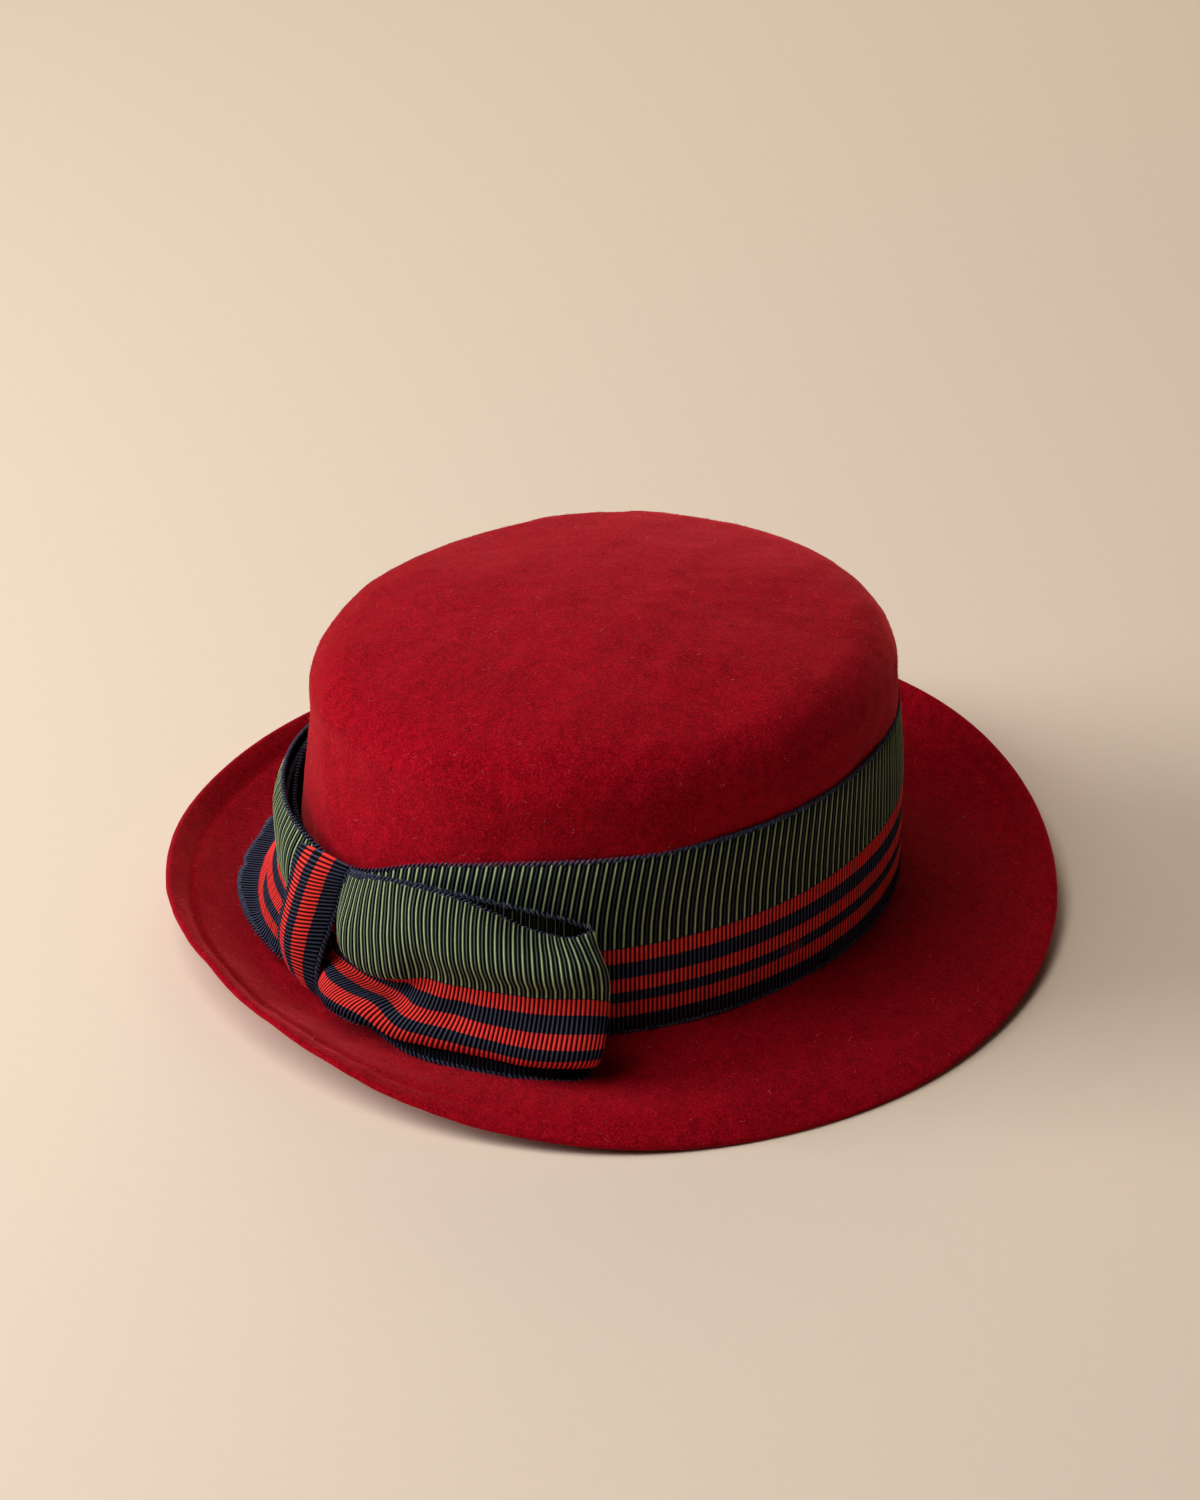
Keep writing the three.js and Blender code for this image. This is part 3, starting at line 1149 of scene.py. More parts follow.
@dataclass(frozen=True)
class Fibres:
    """One kind of fibre on the felt, in millimetres, radians and fibres a square metre."""

    name: str
    shape: FibreShape
    finish: StrandFinish
    finish_name: str
    density: float
    length: float
    thickness: float
    least_lean: float
    most_lean: float
    seed: int
    sides: int = 3
    bends: int = 6
    curl_middle: tuple[float, float, float] = (0.55, 0.12, 0.55)
    curl_end: tuple[float, float, float] = (-0.05, 0.0, 0.95)
    least_size: float = 0.5
    most_size: float = 1.35
    lean_seed: int = 5
    spin_seed: int = 7
    size_seed: int = 9

    def _one(self, recipe: Recipe) -> Link:
        """Make one upright fibre.

        Args:
            recipe: The tree, with a length and a thickness.

        Returns:
            The fibre's mesh.
        """
        graph, length, thickness = recipe.graph, recipe.read("Length"), recipe.read("Thickness")
        if self.shape is FibreShape.STRAIGHT:
            cone = {
                "Vertices": self.sides,
                "Radius Top": 0.0,
                "Radius Bottom": thickness,
                "Depth": length,
            }
            return graph.node("GeometryNodeMeshCone", cone, "Mesh", fill_type="NGON")
        middle, end = (
            graph.vector(*(length * share for share in shares))
            for shares in (self.curl_middle, self.curl_end)
        )
        curve = graph.node(
            "GeometryNodeCurveQuadraticBezier",
            {"Resolution": self.bends, "Start": (0, 0, 0), "Middle": middle, "End": end},
        )
        ring = graph.node(
            "GeometryNodeCurvePrimitiveCircle",
            {"Resolution": self.sides, "Radius": thickness},
            "Curve",
            mode="RADIUS",
        )
        return graph.node(
            "GeometryNodeCurveToMesh", {"Curve": curve, "Profile Curve": ring, "Fill Caps": True}
        )

    def grow(self, piece: bpy.types.Object) -> None:
        """Turn a copy of the felt into the fibres that stand on it.

        Args:
            piece: The copy, whose mesh keeps a "nap" of 1 where fibres stand.
        """
        values = {
            "Density": self.density,
            "Length": self.length * MM,
            "Thickness": self.thickness * MM,
            "Least Lean": self.least_lean,
            "Most Lean": self.most_lean,
        }
        kinds = dict.fromkeys(values, Kind.NUMBER)
        recipe = Recipe(self.shape.value, {**kinds, "Seed": Kind.WHOLE})
        graph = recipe.graph
        points = graph.make(
            "GeometryNodeDistributePointsOnFaces",
            {
                "Mesh": recipe.read("Geometry"),
                "Density": graph.attribute("nap") * recipe.read("Density"),
                "Seed": recipe.read("Seed"),
            },
            distribute_method="RANDOM",
        )
        lean = graph.random(recipe.read("Least Lean"), recipe.read("Most Lean"), self.lean_seed)
        spin = graph.random(0.0, 2 * math.pi, self.spin_seed)
        facing = Link(graph, points.outputs["Rotation"])
        for angles in (graph.vector(z=spin), graph.vector(x=lean)):
            step = graph.node("FunctionNodeEulerToRotation", {0: angles})
            facing = graph.node(
                "FunctionNodeRotateRotation", {0: facing, 1: step}, rotation_space="LOCAL"
            )
        stood = graph.node(
            "GeometryNodeInstanceOnPoints",
            {
                "Points": Link(graph, points.outputs["Points"]),
                "Instance": self._one(recipe),
                "Rotation": facing,
                "Scale": graph.random(self.least_size, self.most_size, self.size_seed),
            },
        )
        recipe.close(stood, self.finish.material(self.finish_name))
        recipe.use(piece, {**values, "Seed": self.seed})
        settle(piece)


NAP = Fibres(
    "felt_nap", FibreShape.STRAIGHT, WOOL_NAP, "wool_nap", density=330000.0,
    length=1.0, thickness=0.045, least_lean=0.95, most_lean=1.5, seed=11,
)
LINT = Fibres(
    "felt_lint", FibreShape.CURLED, WOOL_LINT, "wool_lint", density=8000.0,
    length=1.3, thickness=0.024, least_lean=0.6, most_lean=1.45, seed=17,
)


# ---------- Felt body ----------


@dataclass(frozen=True)
class FeltBody:
    """The crown and the brim, blocked in one piece of felt, with its nap and its lint."""

    form: HatForm
    brim: Brim = Brim()
    finish: FeltFinish = FeltFinish()
    fibres: tuple[Fibres, ...] = (NAP, LINT)
    wall: float = 2.2
    round_steps: int = 300
    dome_steps: int = 24
    edge_steps: int = 22
    wall_steps: int = 46
    foot_steps: int = 4
    brim_steps: int = 44
    rim_steps: int = 6
    under_stride: int = 2
    tip_point: float = 0.02
    flat_below: float = 1.5
    uneven_above: float = 12.0
    fibres_above: float = 66.0
    fibres_skip_rings: int = 9
    soft: Ripple = Ripple(seed=21, height=0.32, shortest=26, longest=70)
    fine: Ripple = Ripple(seed=22, height=0.09, shortest=7, longest=16)

    def _bearings(self) -> np.ndarray:
        """Give the bearings of the mesh's columns."""
        return np.arange(self.round_steps) * (FULL_TURN / self.round_steps)

    def _ring(self, half_length: float, half_width: float, height: float) -> Grid:
        """Give one ring of the crown."""
        x, y = self.form.oval(self._bearings(), 0.0, half_length, half_width)
        return self.form.leaning_at(x, y, height)

    def _crown(self) -> list[Grid]:
        """Give the crown's rings, from the tip's middle down to the foot.

        Returns:
            Rings of points in millimetres.
        """
        form = self.form
        rings = []
        turn = math.radians(form.tip_turn)
        inset = form.tip_edge_reach * (1 - math.cos(turn))
        edge = lerp(form.tip_shoulder_height, form.tip_edge_height, math.sin(turn))
        for share in (np.arange(self.dome_steps) + 1) / (self.dome_steps + 1):
            height = edge + form.tip_rise * (1 - share * share)
            dome_length = (form.tip_half_length - inset) * share
            dome_width = (form.tip_half_width - inset) * share
            rings.append(self._ring(dome_length, dome_width, height))
        for angle in np.linspace(turn, 0, self.edge_steps + 1):
            inset = form.tip_edge_reach * (1 - math.cos(angle))
            height = lerp(form.tip_shoulder_height, form.tip_edge_height, math.sin(angle))
            rings.append(
                self._ring(form.tip_half_length - inset, form.tip_half_width - inset, height)
            )
        foot = form.foot_height + form.foot_radius
        for height in np.linspace(form.tip_shoulder_height, foot, self.wall_steps + 1)[1:]:
            share = smoothstep(height, form.straight_wall_height, form.tip_shoulder_height)
            rings.append(
                self._ring(
                    lerp(form.head_half_length, form.tip_half_length, share),
                    lerp(form.head_half_width, form.tip_half_width, share),
                    height,
                )
            )
        return rings

    def _brim_rings(self) -> list[Grid]:
        """Give the brim's rings, from the crown's foot out to the rim.

        Returns:
            Rings of points in millimetres.
        """
        form, brim, bearings = self.form, self.brim, self._bearings()
        head = (form.head_half_length, form.head_half_width)
        foot = form.foot_height + form.lean(*form.oval(bearings, 0.0, *head))
        width, middle, groove, rim, crease = (
            brim.read(column, bearings)
            for column in (brim.width, brim.middle, brim.groove, brim.rim, brim.crease)
        )
        rise = rim - groove
        turned_up = np.maximum(rise, 0) / np.hypot(rise, brim.lip_reach)
        edge = width - self.wall / 2 * (1 + turned_up)
        radius = form.foot_radius
        rings = []
        for angle in np.linspace(0, math.pi / 2, self.foot_steps + 1)[1:]:
            x, y = form.oval(bearings, radius * (1 - math.cos(angle)), *head)
            height = foot + radius * (1 - math.sin(angle))
            rings.append(form.at(x, y, height))
        shares = (np.arange(self.brim_steps) + 1) / self.brim_steps
        heights = np.empty((self.brim_steps, len(bearings)))
        outs = np.empty_like(heights)
        for column in range(len(bearings)):
            lip = width[column] - brim.lip_reach
            knots = (radius, width[column] / 2, lip, edge[column])
            values = (foot[column], middle[column], groove[column], rim[column])
            out = lerp(radius, edge[column], shares)
            dip = crease[column] * np.exp(-(((out - lip) / brim.crease_width) ** 2))
            outs[:, column] = out
            heights[:, column] = flow(knots, np.array(values), out) - dip
        for out, height in zip(outs, heights):
            x, y = form.oval(bearings, out, *head)
            rings.append(form.at(x, y, height))
        return rings

    def _outer(self) -> tuple[Grid, Grid, int]:
        """Give the felt's outer face, a little uneven wherever it is off the table.

        Returns:
            Its points by ring, their normals, and how many of the rings are the crown's.
        """
        crown = self._crown()
        outer = np.stack([*crown, *self._brim_rings()])
        normals = -normals_of(outer.swapaxes(0, 1), closed=True).swapaxes(0, 1)
        share = smoothstep(outer[..., 2:], self.flat_below, self.uneven_above)
        uneven = (self.soft.at(outer) + self.fine.at(outer))[..., None]
        return outer + normals * share * uneven, normals, len(crown)

    def _rim(self, outer: Grid, inner: Grid) -> Grid:
        """Round the rim from the outer face to the inner one.

        Args:
            outer: The outer face's rings.
            inner: The inner face's.

        Returns:
            The rim's rings.
        """
        middle, half = (outer[-1] + inner[-1]) / 2, (outer[-1] - inner[-1]) / 2
        outward = outer[-1] - outer[-2]
        outward /= np.linalg.norm(outward, axis=-1, keepdims=True)
        rim = np.stack([
            middle + half * math.cos(angle) + outward * (self.wall / 2 * math.sin(angle))
            for angle in np.linspace(0, math.pi, self.rim_steps + 2)[1:-1]
        ])
        rim[..., 2] = np.maximum(rim[..., 2], 0)
        return rim

    def _open(self, outer: Grid, crown_rings: int) -> np.ndarray:
        """Tell where no ribbon covers the felt, so that fibres can stand on it.

        Args:
            outer: The outer face's rings.
            crown_rings: How many of them are the crown's.

        Returns:
            Whether each point is open.
        """
        form = self.form
        lean = form.lean(outer[..., 0] - form.centre_x, outer[..., 1] - form.centre_y)
        ring = np.arange(len(outer))[:, None]
        on_brim = ring > crown_rings + self.fibres_skip_rings
        return np.where(ring < crown_rings, outer[..., 2] - lean > self.fibres_above, on_brim)

    def _shell(self) -> bpy.types.Mesh:
        """Make the felt: outer face, rounded rim and inner face, as one closed wall.

        Returns:
            The mesh, with a "nap" value of 1 where fibres stand on it.
        """
        outer, normals, crown_rings = self._outer()
        inner = outer - normals * self.wall
        inner[..., 2] = np.maximum(inner[..., 2], 0)
        point = [0, 0, self.tip_point]
        skin = Skin()
        tip = skin.add(outer[0].mean(0)[None] + point)[0]
        rings = [outer, self._rim(outer, inner), inner[:: -self.under_stride]]
        faces = skin.add(np.concatenate(rings))
        tip_under = skin.add(inner[0].mean(0)[None] - point)[0]
        skin.fan(tip, faces[0])
        skin.sheet(faces, closed=True)
        skin.fan(tip_under, faces[-1][::-1])
        made = skin.mesh("felt_shell")
        nap = np.zeros(skin.count)
        nap[1 : 1 + outer[..., 0].size] = self._open(outer, crown_rings).ravel()
        store(made, "nap", nap)
        return made

    def build(self) -> list[bpy.types.Object]:
        """Make the felt and its fibres, and tell the frame what they are.

        Returns:
            The pieces.
        """
        shell = place("felt_shell", self._shell())
        grown = [place(kind.name, shell.data.copy()) for kind in self.fibres]
        shell.data.materials.append(self.finish.material("red_felt"))
        for kind, piece in zip(self.fibres, grown):
            kind.grow(piece)
        for piece in (shell, *grown):
            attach(piece, ROOT_BODY)
        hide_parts("felt_body")
        return [shell, *grown]


# ---------- Ribbon pieces ----------


@dataclass(kw_only=True)
class Ribbon:
    """A length of grosgrain laid on the hat, with ribs and corded edges."""

    name: str
    form: HatForm
    dressing: Dressing
    rows: int
    seed: int
    replaced: str
    slot: str
    held: str
    rests_on: list[str]
    closed: bool = False
    cords: tuple[int, ...] = (0, -1)
    shown: tuple[float, float] = (0.0, 1.0)
    track_steps: int = 1601
    track_lines: int = 7
    track_margin: float = 0.04
    probe_share: float = 0.125
    length: float = field(default=0.0, init=False)

    def surface(self, along: np.ndarray, across: np.ndarray) -> Grid:
        """Give points of the ribbon.

        Args:
            along: Shares of its length.
            across: Shares of its width, from the top edge to the hem.

        Returns:
            Points by along and across, in millimetres.
        """
        raise NotImplementedError

    def grid(self) -> tuple[Grid, np.ndarray]:
        """Lay out the ribbon with columns evenly spaced along its length.

        Returns:
            The points, and the rows' shares across.
        """
        weave = self.dressing.weave
        fine = np.linspace(0, 1, self.track_steps)
        lines = np.linspace(self.track_margin, 1 - self.track_margin, self.track_lines)
        track = travelled(self.surface(fine, lines))
        self.length = float(track[-1])
        ribs = 2 * round(self.length / weave.pitch / 2)
        even = np.linspace(0, self.length, ribs * weave.steps + 1)
        if self.closed:
            even = even[:-1]
        across = np.linspace(0, 1, self.rows)
        return self.surface(np.interp(even, track, fine), across), across

    def _faces_in(self, grid: Grid, normals: Grid) -> bool:
        """Tell whether the ribbon's normals point into the hat.

        Args:
            grid: The ribbon's points.
            normals: Its normals.

        Returns:
            True where they have to be turned.
        """
        probe = int(len(grid) * self.probe_share)
        centre = np.array([self.form.centre_x, self.form.centre_y, 0])
        outward = (grid[probe] - centre) * [1, 1, 0]
        return bool((normals[probe] * outward).sum() < 0)

    def _cloth(self, grid: Grid, across: np.ndarray, flip: bool) -> bpy.types.Mesh:
        """Make the ribbon's flat cloth.

        Args:
            grid: Its points.
            across: The rows' shares across.
            flip: Whether its faces have to be turned.

        Returns:
            The mesh, with a UV map in ribs and shares, and a "rib_place".
        """
        steps = self.dressing.weave.steps
        skin = Skin()
        indices = skin.add(grid)
        if self.closed:
            indices = np.concatenate([indices, indices[:1]])
        columns = np.arange(len(indices)) / steps
        uv = np.stack(
            [
                np.broadcast_to(columns[:, None], indices.shape),
                np.broadcast_to(lerp(*self.shown, across)[None], indices.shape),
            ],
            -1,
        )
        corners, places = (
            [each[:-1, :-1], each[1:, :-1], each[1:, 1:], each[:-1, 1:]] for each in (indices, uv)
        )
        if flip:
            corners, places = corners[::-1], places[::-1]
        skin.faces.append(np.stack(corners, -1).reshape(-1, 4))
        made = skin.mesh(self.name)
        layer = made.uv_layers.new(name="ribbon")
        layer.data.foreach_set("uv", np.stack(places, -2).reshape(-1))
        store(made, "rib_place", np.repeat(np.arange(len(grid)) / steps, self.rows))
        return made

    def _cords(self, grid: Grid, normals: Grid) -> bpy.types.Object:
        """Lay the twisted cords along the ribbon's edges.

        Args:
            grid: The ribbon's points.
            normals: Its normals.

        Returns:
            The cords' piece.
        """
        weave = self.dressing.weave
        count = len(grid)
        ends = np.arange(count if self.closed else count - 1)
        points, edges = [], []
        for order, row in enumerate(self.cords):
            beyond = grid[:, row] - grid[:, 1 if row == 0 else row - 1]
            beyond /= np.linalg.norm(beyond, axis=-1, keepdims=True)
            sunk = normals[:, row] * (weave.wall * weave.cord_sunk_share)
            points.append(grid[:, row] + beyond * weave.cord_beyond - sunk)
            edges.append(order * count + np.stack([ends, (ends + 1) % count], -1))
        made = bpy.data.meshes.new(f"{self.name}_cord")
        made.from_pydata(
            (np.concatenate(points) * MM).tolist(), np.concatenate(edges).tolist(), []
        )
        store(made, "face_out", np.concatenate([normals[:, row] for row in self.cords]))
        cords = place(f"{self.name}_cord", made)
        self.dressing.lay_cord(cords)
        return settle(cords)

    def build(self) -> list[bpy.types.Object]:
        """Make the ribbon and its edge cords, and tell the frame what they are.

        Returns:
            The ribbon's piece and the cords' piece.
        """
        grid, across = self.grid()
        normals = normals_of(grid, self.closed)
        flip = self._faces_in(grid, normals)
        if flip:
            normals = -normals
        cloth = place(self.name, self._cloth(grid, across, flip))
        self.dressing.raise_ribs(cloth, self.seed)
        wall = cloth.modifiers.new("wall", "SOLIDIFY")
        wall.thickness = self.dressing.weave.wall * MM
        wall.offset = -1.0
        settle(cloth)
        cords = self._cords(grid, normals)
        self._declare(cloth, cords)
        return [cloth, cords]

    def _declare(self, cloth: bpy.types.Object, cords: bpy.types.Object) -> None:
        """Tell the frame what the ribbon is.

        Args:
            cloth: The ribbon's piece.
            cords: The cords' piece.
        """
        for piece in (cloth, cords):
            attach(piece, ROOT_BODY)
        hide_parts(self.replaced)


@dataclass(kw_only=True)
class HatBand(Ribbon):
    """The ribbon round the crown's foot, its green half uppermost."""

    band: BandTable = BandTable()
    start: float = 84.0

    def surface(self, along: np.ndarray, across: np.ndarray) -> Grid:
        """Give points of the band.

        Args:
            along: Shares of the way round, anticlockwise from under the knot.
            across: Shares of its width, from the top edge down.

        Returns:
            Points in millimetres.
        """
        bearing = (self.start + along * FULL_TURN)[:, None]
        height = lerp(self.band.top_edge(bearing), self.band.foot_height, across[None])
        bearing = np.broadcast_to(bearing, height.shape)
        return self.form.on_wall(bearing, self.band.face(bearing, height), height)


@dataclass(kw_only=True)
class BowLoop(Ribbon):
    """A loop of the bow: out from the knot, round the fold, and back."""

    sections: tuple[Section, ...] = ()
    creases: tuple[Crease, ...] = ()
    pleat: Pleat | None = None
    fine_steps: int = 240
    mm_per_degree: float = 1.63
    least_fall: float = 0.04
    crease_steps: int = 90

    def _net(self) -> np.ndarray:
        """Lay each section out in fine steps, keeping the ribbon's width.

        Returns:
            Bearing, distance out and height, by section and step.
        """
        fine = np.linspace(0, 1, self.fine_steps + 1)
        step = self.dressing.weave.width / self.fine_steps
        outs = flow(OUT_SHARES, np.array([section.outs for section in self.sections]).T, fine)
        bearings = np.array([section.bearings for section in self.sections]).T
        bearings = flow(EDGE_MIDDLE_HEM, bearings, fine)
        tops, hems = np.array([(section.top, section.hem) for section in self.sections]).T
        swing = np.diff(bearings, axis=0) * self.mm_per_degree
        left = step**2 - np.diff(outs, axis=0) ** 2 - swing**2
        fall = np.cumsum(np.sqrt(np.maximum(left, (self.least_fall * step) ** 2)), axis=0)
        fall = np.concatenate([np.zeros((1, len(tops))), fall / fall[-1]])
        heights = lerp(tops, hems, fall)
        return np.stack([bearings, outs, heights], -1).swapaxes(0, 1)

    def surface(self, along: np.ndarray, across: np.ndarray) -> Grid:
        """Give points of the loop.

        Args:
            along: Shares of its length.
            across: Shares of its width.

        Returns:
            Points in millimetres.
        """
        net = self._net()
        real = self.form.beside(net[..., 0], net[..., 1], net[..., 2])
        knots = travelled(real)
        rows = flow(knots, net, along * knots[-1])
        place_along = (along * knots[-1])[:, None]
        place_across = (across * self.dressing.weave.width)[None]
        share = np.broadcast_to(across[None], (len(along), len(across)))
        sunk = np.zeros(share.shape)
        if self.pleat:
            share, sunk = self.pleat.take(place_along, share)
        step = share * self.fine_steps
        low = np.clip(step.astype(int), 0, self.fine_steps - 1)
        line = np.arange(len(along))[:, None]
        spots = lerp(rows[line, low], rows[line, low + 1], (step - low)[..., None])
        out = spots[..., 1] - sunk
        for crease in self.creases:
            out -= self._tuck(crease, place_along, place_across)
        return self.form.beside(spots[..., 0], out, spots[..., 2])

    def _tuck(self, crease: Crease, along: np.ndarray, across: np.ndarray) -> np.ndarray:
        """Tell how deep a crease is at each place.

        Args:
            crease: The crease.
            along: Places along the ribbon, in millimetres.
            across: Places across it, in millimetres.

        Returns:
            Depths in millimetres.
        """
        share = np.linspace(0, len(crease.path) - 1, self.crease_steps)
        knots = np.arange(len(crease.path))
        path = flow(knots, np.array(crease.path) * [1, self.dressing.weave.width], share)
        deep = np.interp(share, knots, crease.depths)
        gap = np.hypot(along[..., None] - path[:, 0], across[..., None] - path[:, 1])
        return (deep * np.exp(-((gap / crease.width) ** 2))).max(-1)


@dataclass(kw_only=True)
class BowKnot(Ribbon):
    """The folded ribbon that is wrapped upright round the middle of the bow."""

    lines: tuple[KnotLine, ...] = ()

    def surface(self, along: np.ndarray, across: np.ndarray) -> Grid:
        """Give points of the knot.

        Args:
            along: Shares of the way down its face.
            across: Shares of its width, from the folded edge to the hem.

        Returns:
            Points in millimetres.
        """
        net = np.array(self.lines, float)
        real = self.form.beside(net[..., 0], net[..., 1], net[..., 2])
        knots = travelled(real)
        rows = flow(EDGE_MIDDLE_HEM, net.swapaxes(0, 1), across).swapaxes(0, 1)
        spots = flow(knots, rows, along * knots[-1])
        return self.form.beside(spots[..., 0], spots[..., 1], spots[..., 2])


# ---------- The hat's own sizes ----------

RIGHT_LOOP = (
    Section((88.5, 87, 82), 56, 13, (3.5, 4.5, 5, 4.5, 4.5, 5, 6.5, 6.5, 6)),
    Section((93.5, 93.5, 89), 57.5, 15, (5.5, 8.5, 12, 11, 7.5, 5.5, 13.5, 15.5, 14)),
    Section((98, 100.5, 93.5), 60, 15.5, (6, 10.5, 14.5, 13.5, 8.5, 6.5, 15, 18.5, 17)),
    Section((104, 107, 100), 62.5, 15, (7, 11, 16, 15, 11, 9, 16, 19, 17)),
    Section((109, 111.5, 105), 62.5, 14, (7, 12.5, 16, 13.5, 13, 14, 18.5, 18, 13.5)),
    Section((115, 117, 112), 62, 13.5, (7.5, 13, 18, 15.5, 16, 16, 19.5, 17.5, 13)),
    Section((122, 124, 121.5), 58.5, 12.8, (7.5, 14.5, 20.5, 16.5, 17.5, 18.5, 20.5, 17.5, 12.5)),
    Section((131, 132.5, 130), 52, 12, (8, 16.5, 25, 19.5, 20, 22, 24, 20.5, 15.5)),
    Section((138.3, 140.3, 138), 50, 11.5, (7.5, 15.5, 26, 21.5, 22, 24.5, 25.5, 22.5, 18)),
    Section((140.2, 141.8, 139.2), 50.3, 9.8, (5.5, 12.5, 23.5, 20.5, 21, 23.5, 25, 22.5, 19)),
    Section((139.3, 140, 138), 51, 7.8, (4.5, 8.5, 18, 18.5, 19, 19.5, 20, 20.5, 20.5)),
    Section((131.5, 131.5, 131), 56.5, 7.8, (5, 7, 11, 13.5, 14.5, 15.5, 17, 19, 20)),
    Section((121, 121, 121), 60.5, 8.5, (5, 6, 8, 10, 11, 12.5, 14.5, 16.5, 18)),
    Section((108, 108.5, 110), 62, 9.5, (5, 5.5, 6.5, 7, 6.5, 6.5, 12, 14, 16)),
    Section((94, 94, 96), 58.5, 11.5, (4.2, 4.3, 4.4, 4.2, 4, 4, 7.5, 8.5, 9.5)),
    Section((87, 85.5, 80.5), 56, 12, (3, 3.3, 3.5, 3.5, 3.5, 3.8, 5, 5, 5)),
)
LEFT_LOOP = (
    Section((81, 80, 78), 57, 13, (3.5, 4.5, 5, 4.5, 4.5, 5.5, 6, 6.5, 6)),
    Section((76, 75.5, 73), 59, 13.5, (5.2, 8, 9.5, 8, 7, 8, 10, 10.5, 11)),
    Section((66.5, 66.5, 64.5), 60.2, 14, (6, 8.5, 9, 8, 7.5, 8.5, 12, 13, 15)),
    Section((58, 58, 55.5), 60.5, 15, (6, 8.5, 8.5, 8, 8, 9.5, 13, 14.5, 19)),
    Section((49.5, 49.5, 47), 60.5, 15.5, (6, 8.5, 8.5, 8, 8.5, 10.5, 13.5, 16.3, 22)),
    Section((41.5, 41.5, 39.5), 60, 15.5, (6, 8.5, 8.5, 8.5, 9, 11, 14.5, 17.5, 23.3)),
    Section((33, 33, 32), 59, 15.5, (5.5, 8, 8.5, 9, 9.5, 11.5, 15, 18, 23.5)),
    Section((26.5, 26.3, 26), 57.5, 15.5, (5, 7.5, 9, 9.5, 10.5, 13, 16.5, 19.5, 24.5)),
    Section((25, 24.5, 24), 57, 15, (4.6, 7, 8.5, 9.5, 11, 13.5, 17, 19.5, 23.5)),
    Section((26.8, 26.5, 26.3), 56.3, 14.5, (4.2, 5.5, 7, 8.5, 9.5, 11, 14, 16.5, 20)),
    Section((37, 36.7, 35.5), 55.5, 14, (4.5, 5.6, 6, 6.5, 7, 8, 10, 12, 15)),
    Section((51, 50.5, 49), 54.5, 13.5, (4.8, 5.6, 5.8, 6, 6, 6.5, 8, 9.5, 12)),
    Section((66, 65.5, 64), 54.5, 13, (4.8, 5.2, 5, 5, 5, 5.2, 6.5, 7.5, 9.5)),
    Section((79, 78.5, 75), 55, 12.5, (3, 3.2, 3.4, 3.6, 3.8, 4, 4.5, 5, 5.3)),
)
KNOT_LINES = (
    KnotLine(Spot(78.5, 5, 53), Spot(84.5, 4.4, 55), Spot(90.6, 3.2, 54.5)),
    KnotLine(Spot(77.6, 7.5, 58.5), Spot(84.3, 7.2, 61), Spot(91, 3.8, 59)),
    KnotLine(Spot(77, 9.3, 56), Spot(84, 9.8, 57.5), Spot(90.6, 5, 56.5)),
    KnotLine(Spot(76.4, 11.2, 47), Spot(83, 12.8, 49), Spot(89.4, 6, 49.3)),
    KnotLine(Spot(75.8, 13, 38.5), Spot(82.3, 15, 40.5), Spot(88.2, 7.6, 41)),
    KnotLine(Spot(75.4, 14.8, 30), Spot(81.8, 16.8, 32), Spot(87.2, 10, 32.5)),
    KnotLine(Spot(75.6, 14.6, 21.5), Spot(81.3, 16.4, 23.6), Spot(86.4, 12.2, 23)),
    KnotLine(Spot(76.4, 11.8, 14), Spot(81, 13.8, 15.5), Spot(85.9, 12, 14.8)),
    KnotLine(Spot(76.5, 7.5, 10.5), Spot(80, 9, 10.3), Spot(84.6, 8.5, 9.8)),
    KnotLine(Spot(76, 4.8, 11), Spot(79, 5, 11), Spot(82.5, 5, 11)),
)
RIGHT_CREASES = (
    Crease(((32, 0.5), (35, 0.56), (38, 0.62), (40, 0.68)), (0, 1.5, 2, 0), 2.4),
    Crease(((58, 0.5), (58, 0.64), (58, 0.8)), (0, 1.3, 0), 5.0),
)
LEFT_CREASES = (Crease(((64, 0.93), (64, 1)), (0.3, 0.9), 2.5),)
LEFT_PLEAT = Pleat(middle=0.797, half=0.031, reach=0.12, depth=2.0, starts=42.0, full=58.0)


# ---------- Studio ----------


class Lamp(NamedTuple):
    """A square soft light: metres right of the hat, beyond it and up, watts, side, colour."""

    name: str
    right: float
    far: float
    up: float
    power: float
    size: float
    colour: Colour


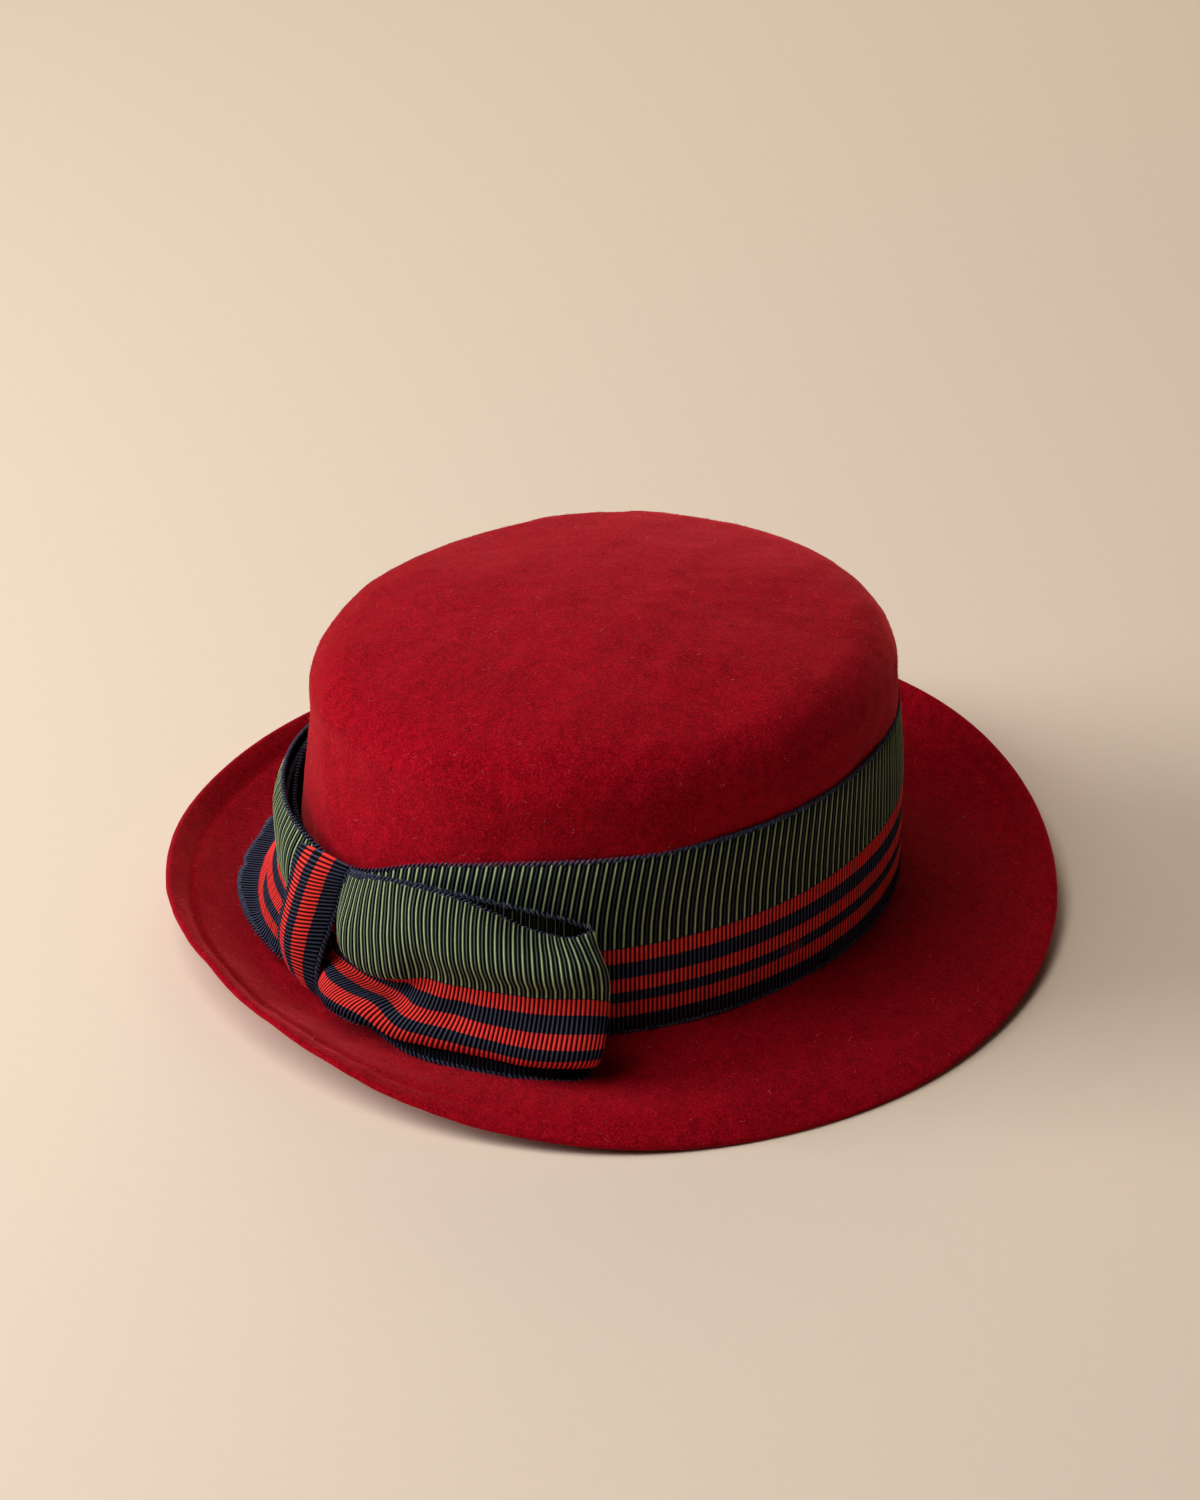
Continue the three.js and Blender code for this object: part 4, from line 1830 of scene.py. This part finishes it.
@dataclass(frozen=True)
class Studio:
    """A pale paper floor, three soft lights of which the left one is the key, and the camera."""

    aim: Vector
    azimuth: float = -131.5
    elevation: float = 30.34
    distance: float = 1.5803
    lens: float = 120.0
    sensor: float = 36.0
    clip: tuple[float, float] = (0.05, 60.0)
    raise_aim: float = 0.0073
    shift_aim: float = -0.0009
    floor_size: float = 12.0
    lamps: tuple[Lamp, ...] = (
        Lamp("key", -1.45, -0.1, 0.72, 23.0, 0.9, (1.0, 1.0, 1.0)),
        Lamp("front", -0.75, -0.3, 1.75, 19.0, 1.2, (1.0, 0.96, 0.91)),
        Lamp("back", 0.1, 1.5, 0.9, 7.5, 1.2, (1.0, 0.87, 0.72)),
    )
    air: Colour = (1.0, 0.74, 0.50)
    air_strength: float = 0.045

    def _axes(self) -> tuple[Vector, Vector, Vector]:
        """Give the directions towards the camera, to its right and up its view.

        Returns:
            The three directions.
        """
        turn, tilt = math.radians(self.azimuth), math.radians(self.elevation)
        back = Vector(
            (math.sin(turn) * math.cos(tilt), -math.cos(turn) * math.cos(tilt), math.sin(tilt))
        )
        right = Vector((0, 0, 1)).cross(back).normalized()
        return back, right, back.cross(right)

    @staticmethod
    def _face(item: bpy.types.Object, spot: Vector, towards: Vector) -> None:
        """Stand a light or the camera at a spot, facing a direction.

        Args:
            item: The light or the camera.
            spot: Its place.
            towards: The direction it faces.
        """
        item.location = spot
        item.rotation_mode = "QUATERNION"
        item.rotation_quaternion = towards.to_track_quat("-Z", "Y")

    def _camera(self) -> None:
        """Stand the camera at the viewing angle."""
        back, right, up = self._axes()
        aim = self.aim + up * self.raise_aim + right * self.shift_aim
        lens = bpy.data.cameras.new("camera")
        lens.lens, lens.sensor_width = self.lens, self.sensor
        lens.clip_start, lens.clip_end = self.clip
        camera = place("camera", lens)
        spot = self.aim + back * self.distance
        self._face(camera, spot, aim - spot)
        bpy.context.scene.camera = camera

    def _floor(self) -> None:
        """Lay the paper that the hat stands on."""
        half = self.floor_size / 2
        mesh = bpy.data.meshes.new("floor")
        corners = [(-half, -half, 0), (half, -half, 0), (half, half, 0), (-half, half, 0)]
        mesh.from_pydata(corners, [], [(0, 1, 2, 3)])
        mesh.materials.append(PaperFinish().material("paper"))
        place("floor", mesh)

    def _lights(self) -> None:
        """Hang the lights, which all face the hat."""
        back, right, _ = self._axes()
        far = -Vector((back.x, back.y, 0)).normalized()
        up = Vector((0, 0, 1))
        for lamp in self.lamps:
            light = bpy.data.lights.new(lamp.name, "AREA")
            light.energy, light.size, light.color = lamp.power, lamp.size, lamp.colour
            where = right * lamp.right + far * lamp.far + up * lamp.up
            self._face(place(lamp.name, light), self.aim + where, -where)

    def _room(self) -> None:
        """Fill the room with soft warm air, and show colours as they are."""
        world = bpy.data.worlds.new("air")
        world.use_nodes = True
        shade = world.node_tree.nodes["Background"]
        shade.inputs["Color"].default_value = (*self.air, 1)
        shade.inputs["Strength"].default_value = self.air_strength
        bpy.context.scene.world = world
        view = bpy.context.scene.view_settings
        view.view_transform, view.look = "Standard", "None"

    def build(self) -> None:
        """Set up the camera, the floor, the lights and the room."""
        self._camera()
        self._floor()
        self._lights()
        self._room()


# ---------- Assembly ----------

CROWN_FROM_BOX = (-1.57, 5.62)
AIM_HEIGHT = 50.0
BOW_SLATE = (0.098, 0.128, 0.098)


def hat_form() -> HatForm:
    """Stand the hat's form in the frame, from the middle of the felt's box.

    Returns:
        The form.
    """
    low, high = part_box("felt_body")
    middle = (low + high) / 2 / MM
    return HatForm(middle.x + CROWN_FROM_BOX[0], middle.y + CROWN_FROM_BOX[1])


def ribbons(form: HatForm) -> list[Ribbon]:
    """Describe the band, the bow's two loops and its knot.

    Args:
        form: The hat's form.

    Returns:
        The ribbons, in the order in which they are laid.
    """
    cord = NAVY_CORD.material("ribbon_cord")
    band = Dressing(RibbonFinish().material("band_grosgrain"), cord)
    bow = Dressing(RibbonFinish(slate_crest=BOW_SLATE).material("bow_grosgrain"), cord)
    loop = {
        "form": form, "dressing": bow, "rows": 55, "slot": "bow_ribbon",
        "held": "folded", "rests_on": ["band_ribbon"],
    }
    return [
        HatBand(
            name="band_ribbon", form=form, dressing=band, rows=11, seed=11, closed=True,
            replaced="hat_band", slot="band_ribbon", held="stretched", rests_on=["felt_shell"],
        ),
        BowLoop(
            name="bow_right_ribbon", replaced="bow_loop_right", seed=16,
            sections=RIGHT_LOOP, creases=RIGHT_CREASES, **loop,
        ),
        BowLoop(
            name="bow_left_ribbon", replaced="bow_loop_left", seed=15,
            sections=LEFT_LOOP, creases=LEFT_CREASES, pleat=LEFT_PLEAT, **loop,
        ),
        BowKnot(
            name="knot_ribbon", form=form, dressing=bow, rows=17, seed=11, cords=(-1,),
            shown=(0.61, 1.0), lines=KNOT_LINES, replaced="bow_knot", slot="knot_ribbon",
            held="folded", rests_on=["bow_right_ribbon", "bow_left_ribbon"],
        ),
    ]


def main() -> None:
    """Build the studio and the hat, piece by piece."""
    logging.basicConfig(level=logging.INFO, format="%(name)s %(message)s")
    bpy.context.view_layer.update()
    form = hat_form()
    Studio(Vector((form.centre_x, form.centre_y, AIM_HEIGHT)) * MM).build()
    for assembly in (FeltBody(form), *ribbons(form)):
        for piece in assembly.build():
            LOG.info("%s: %d faces", piece.name, len(piece.data.polygons))


if __name__ == "__main__":
    main()
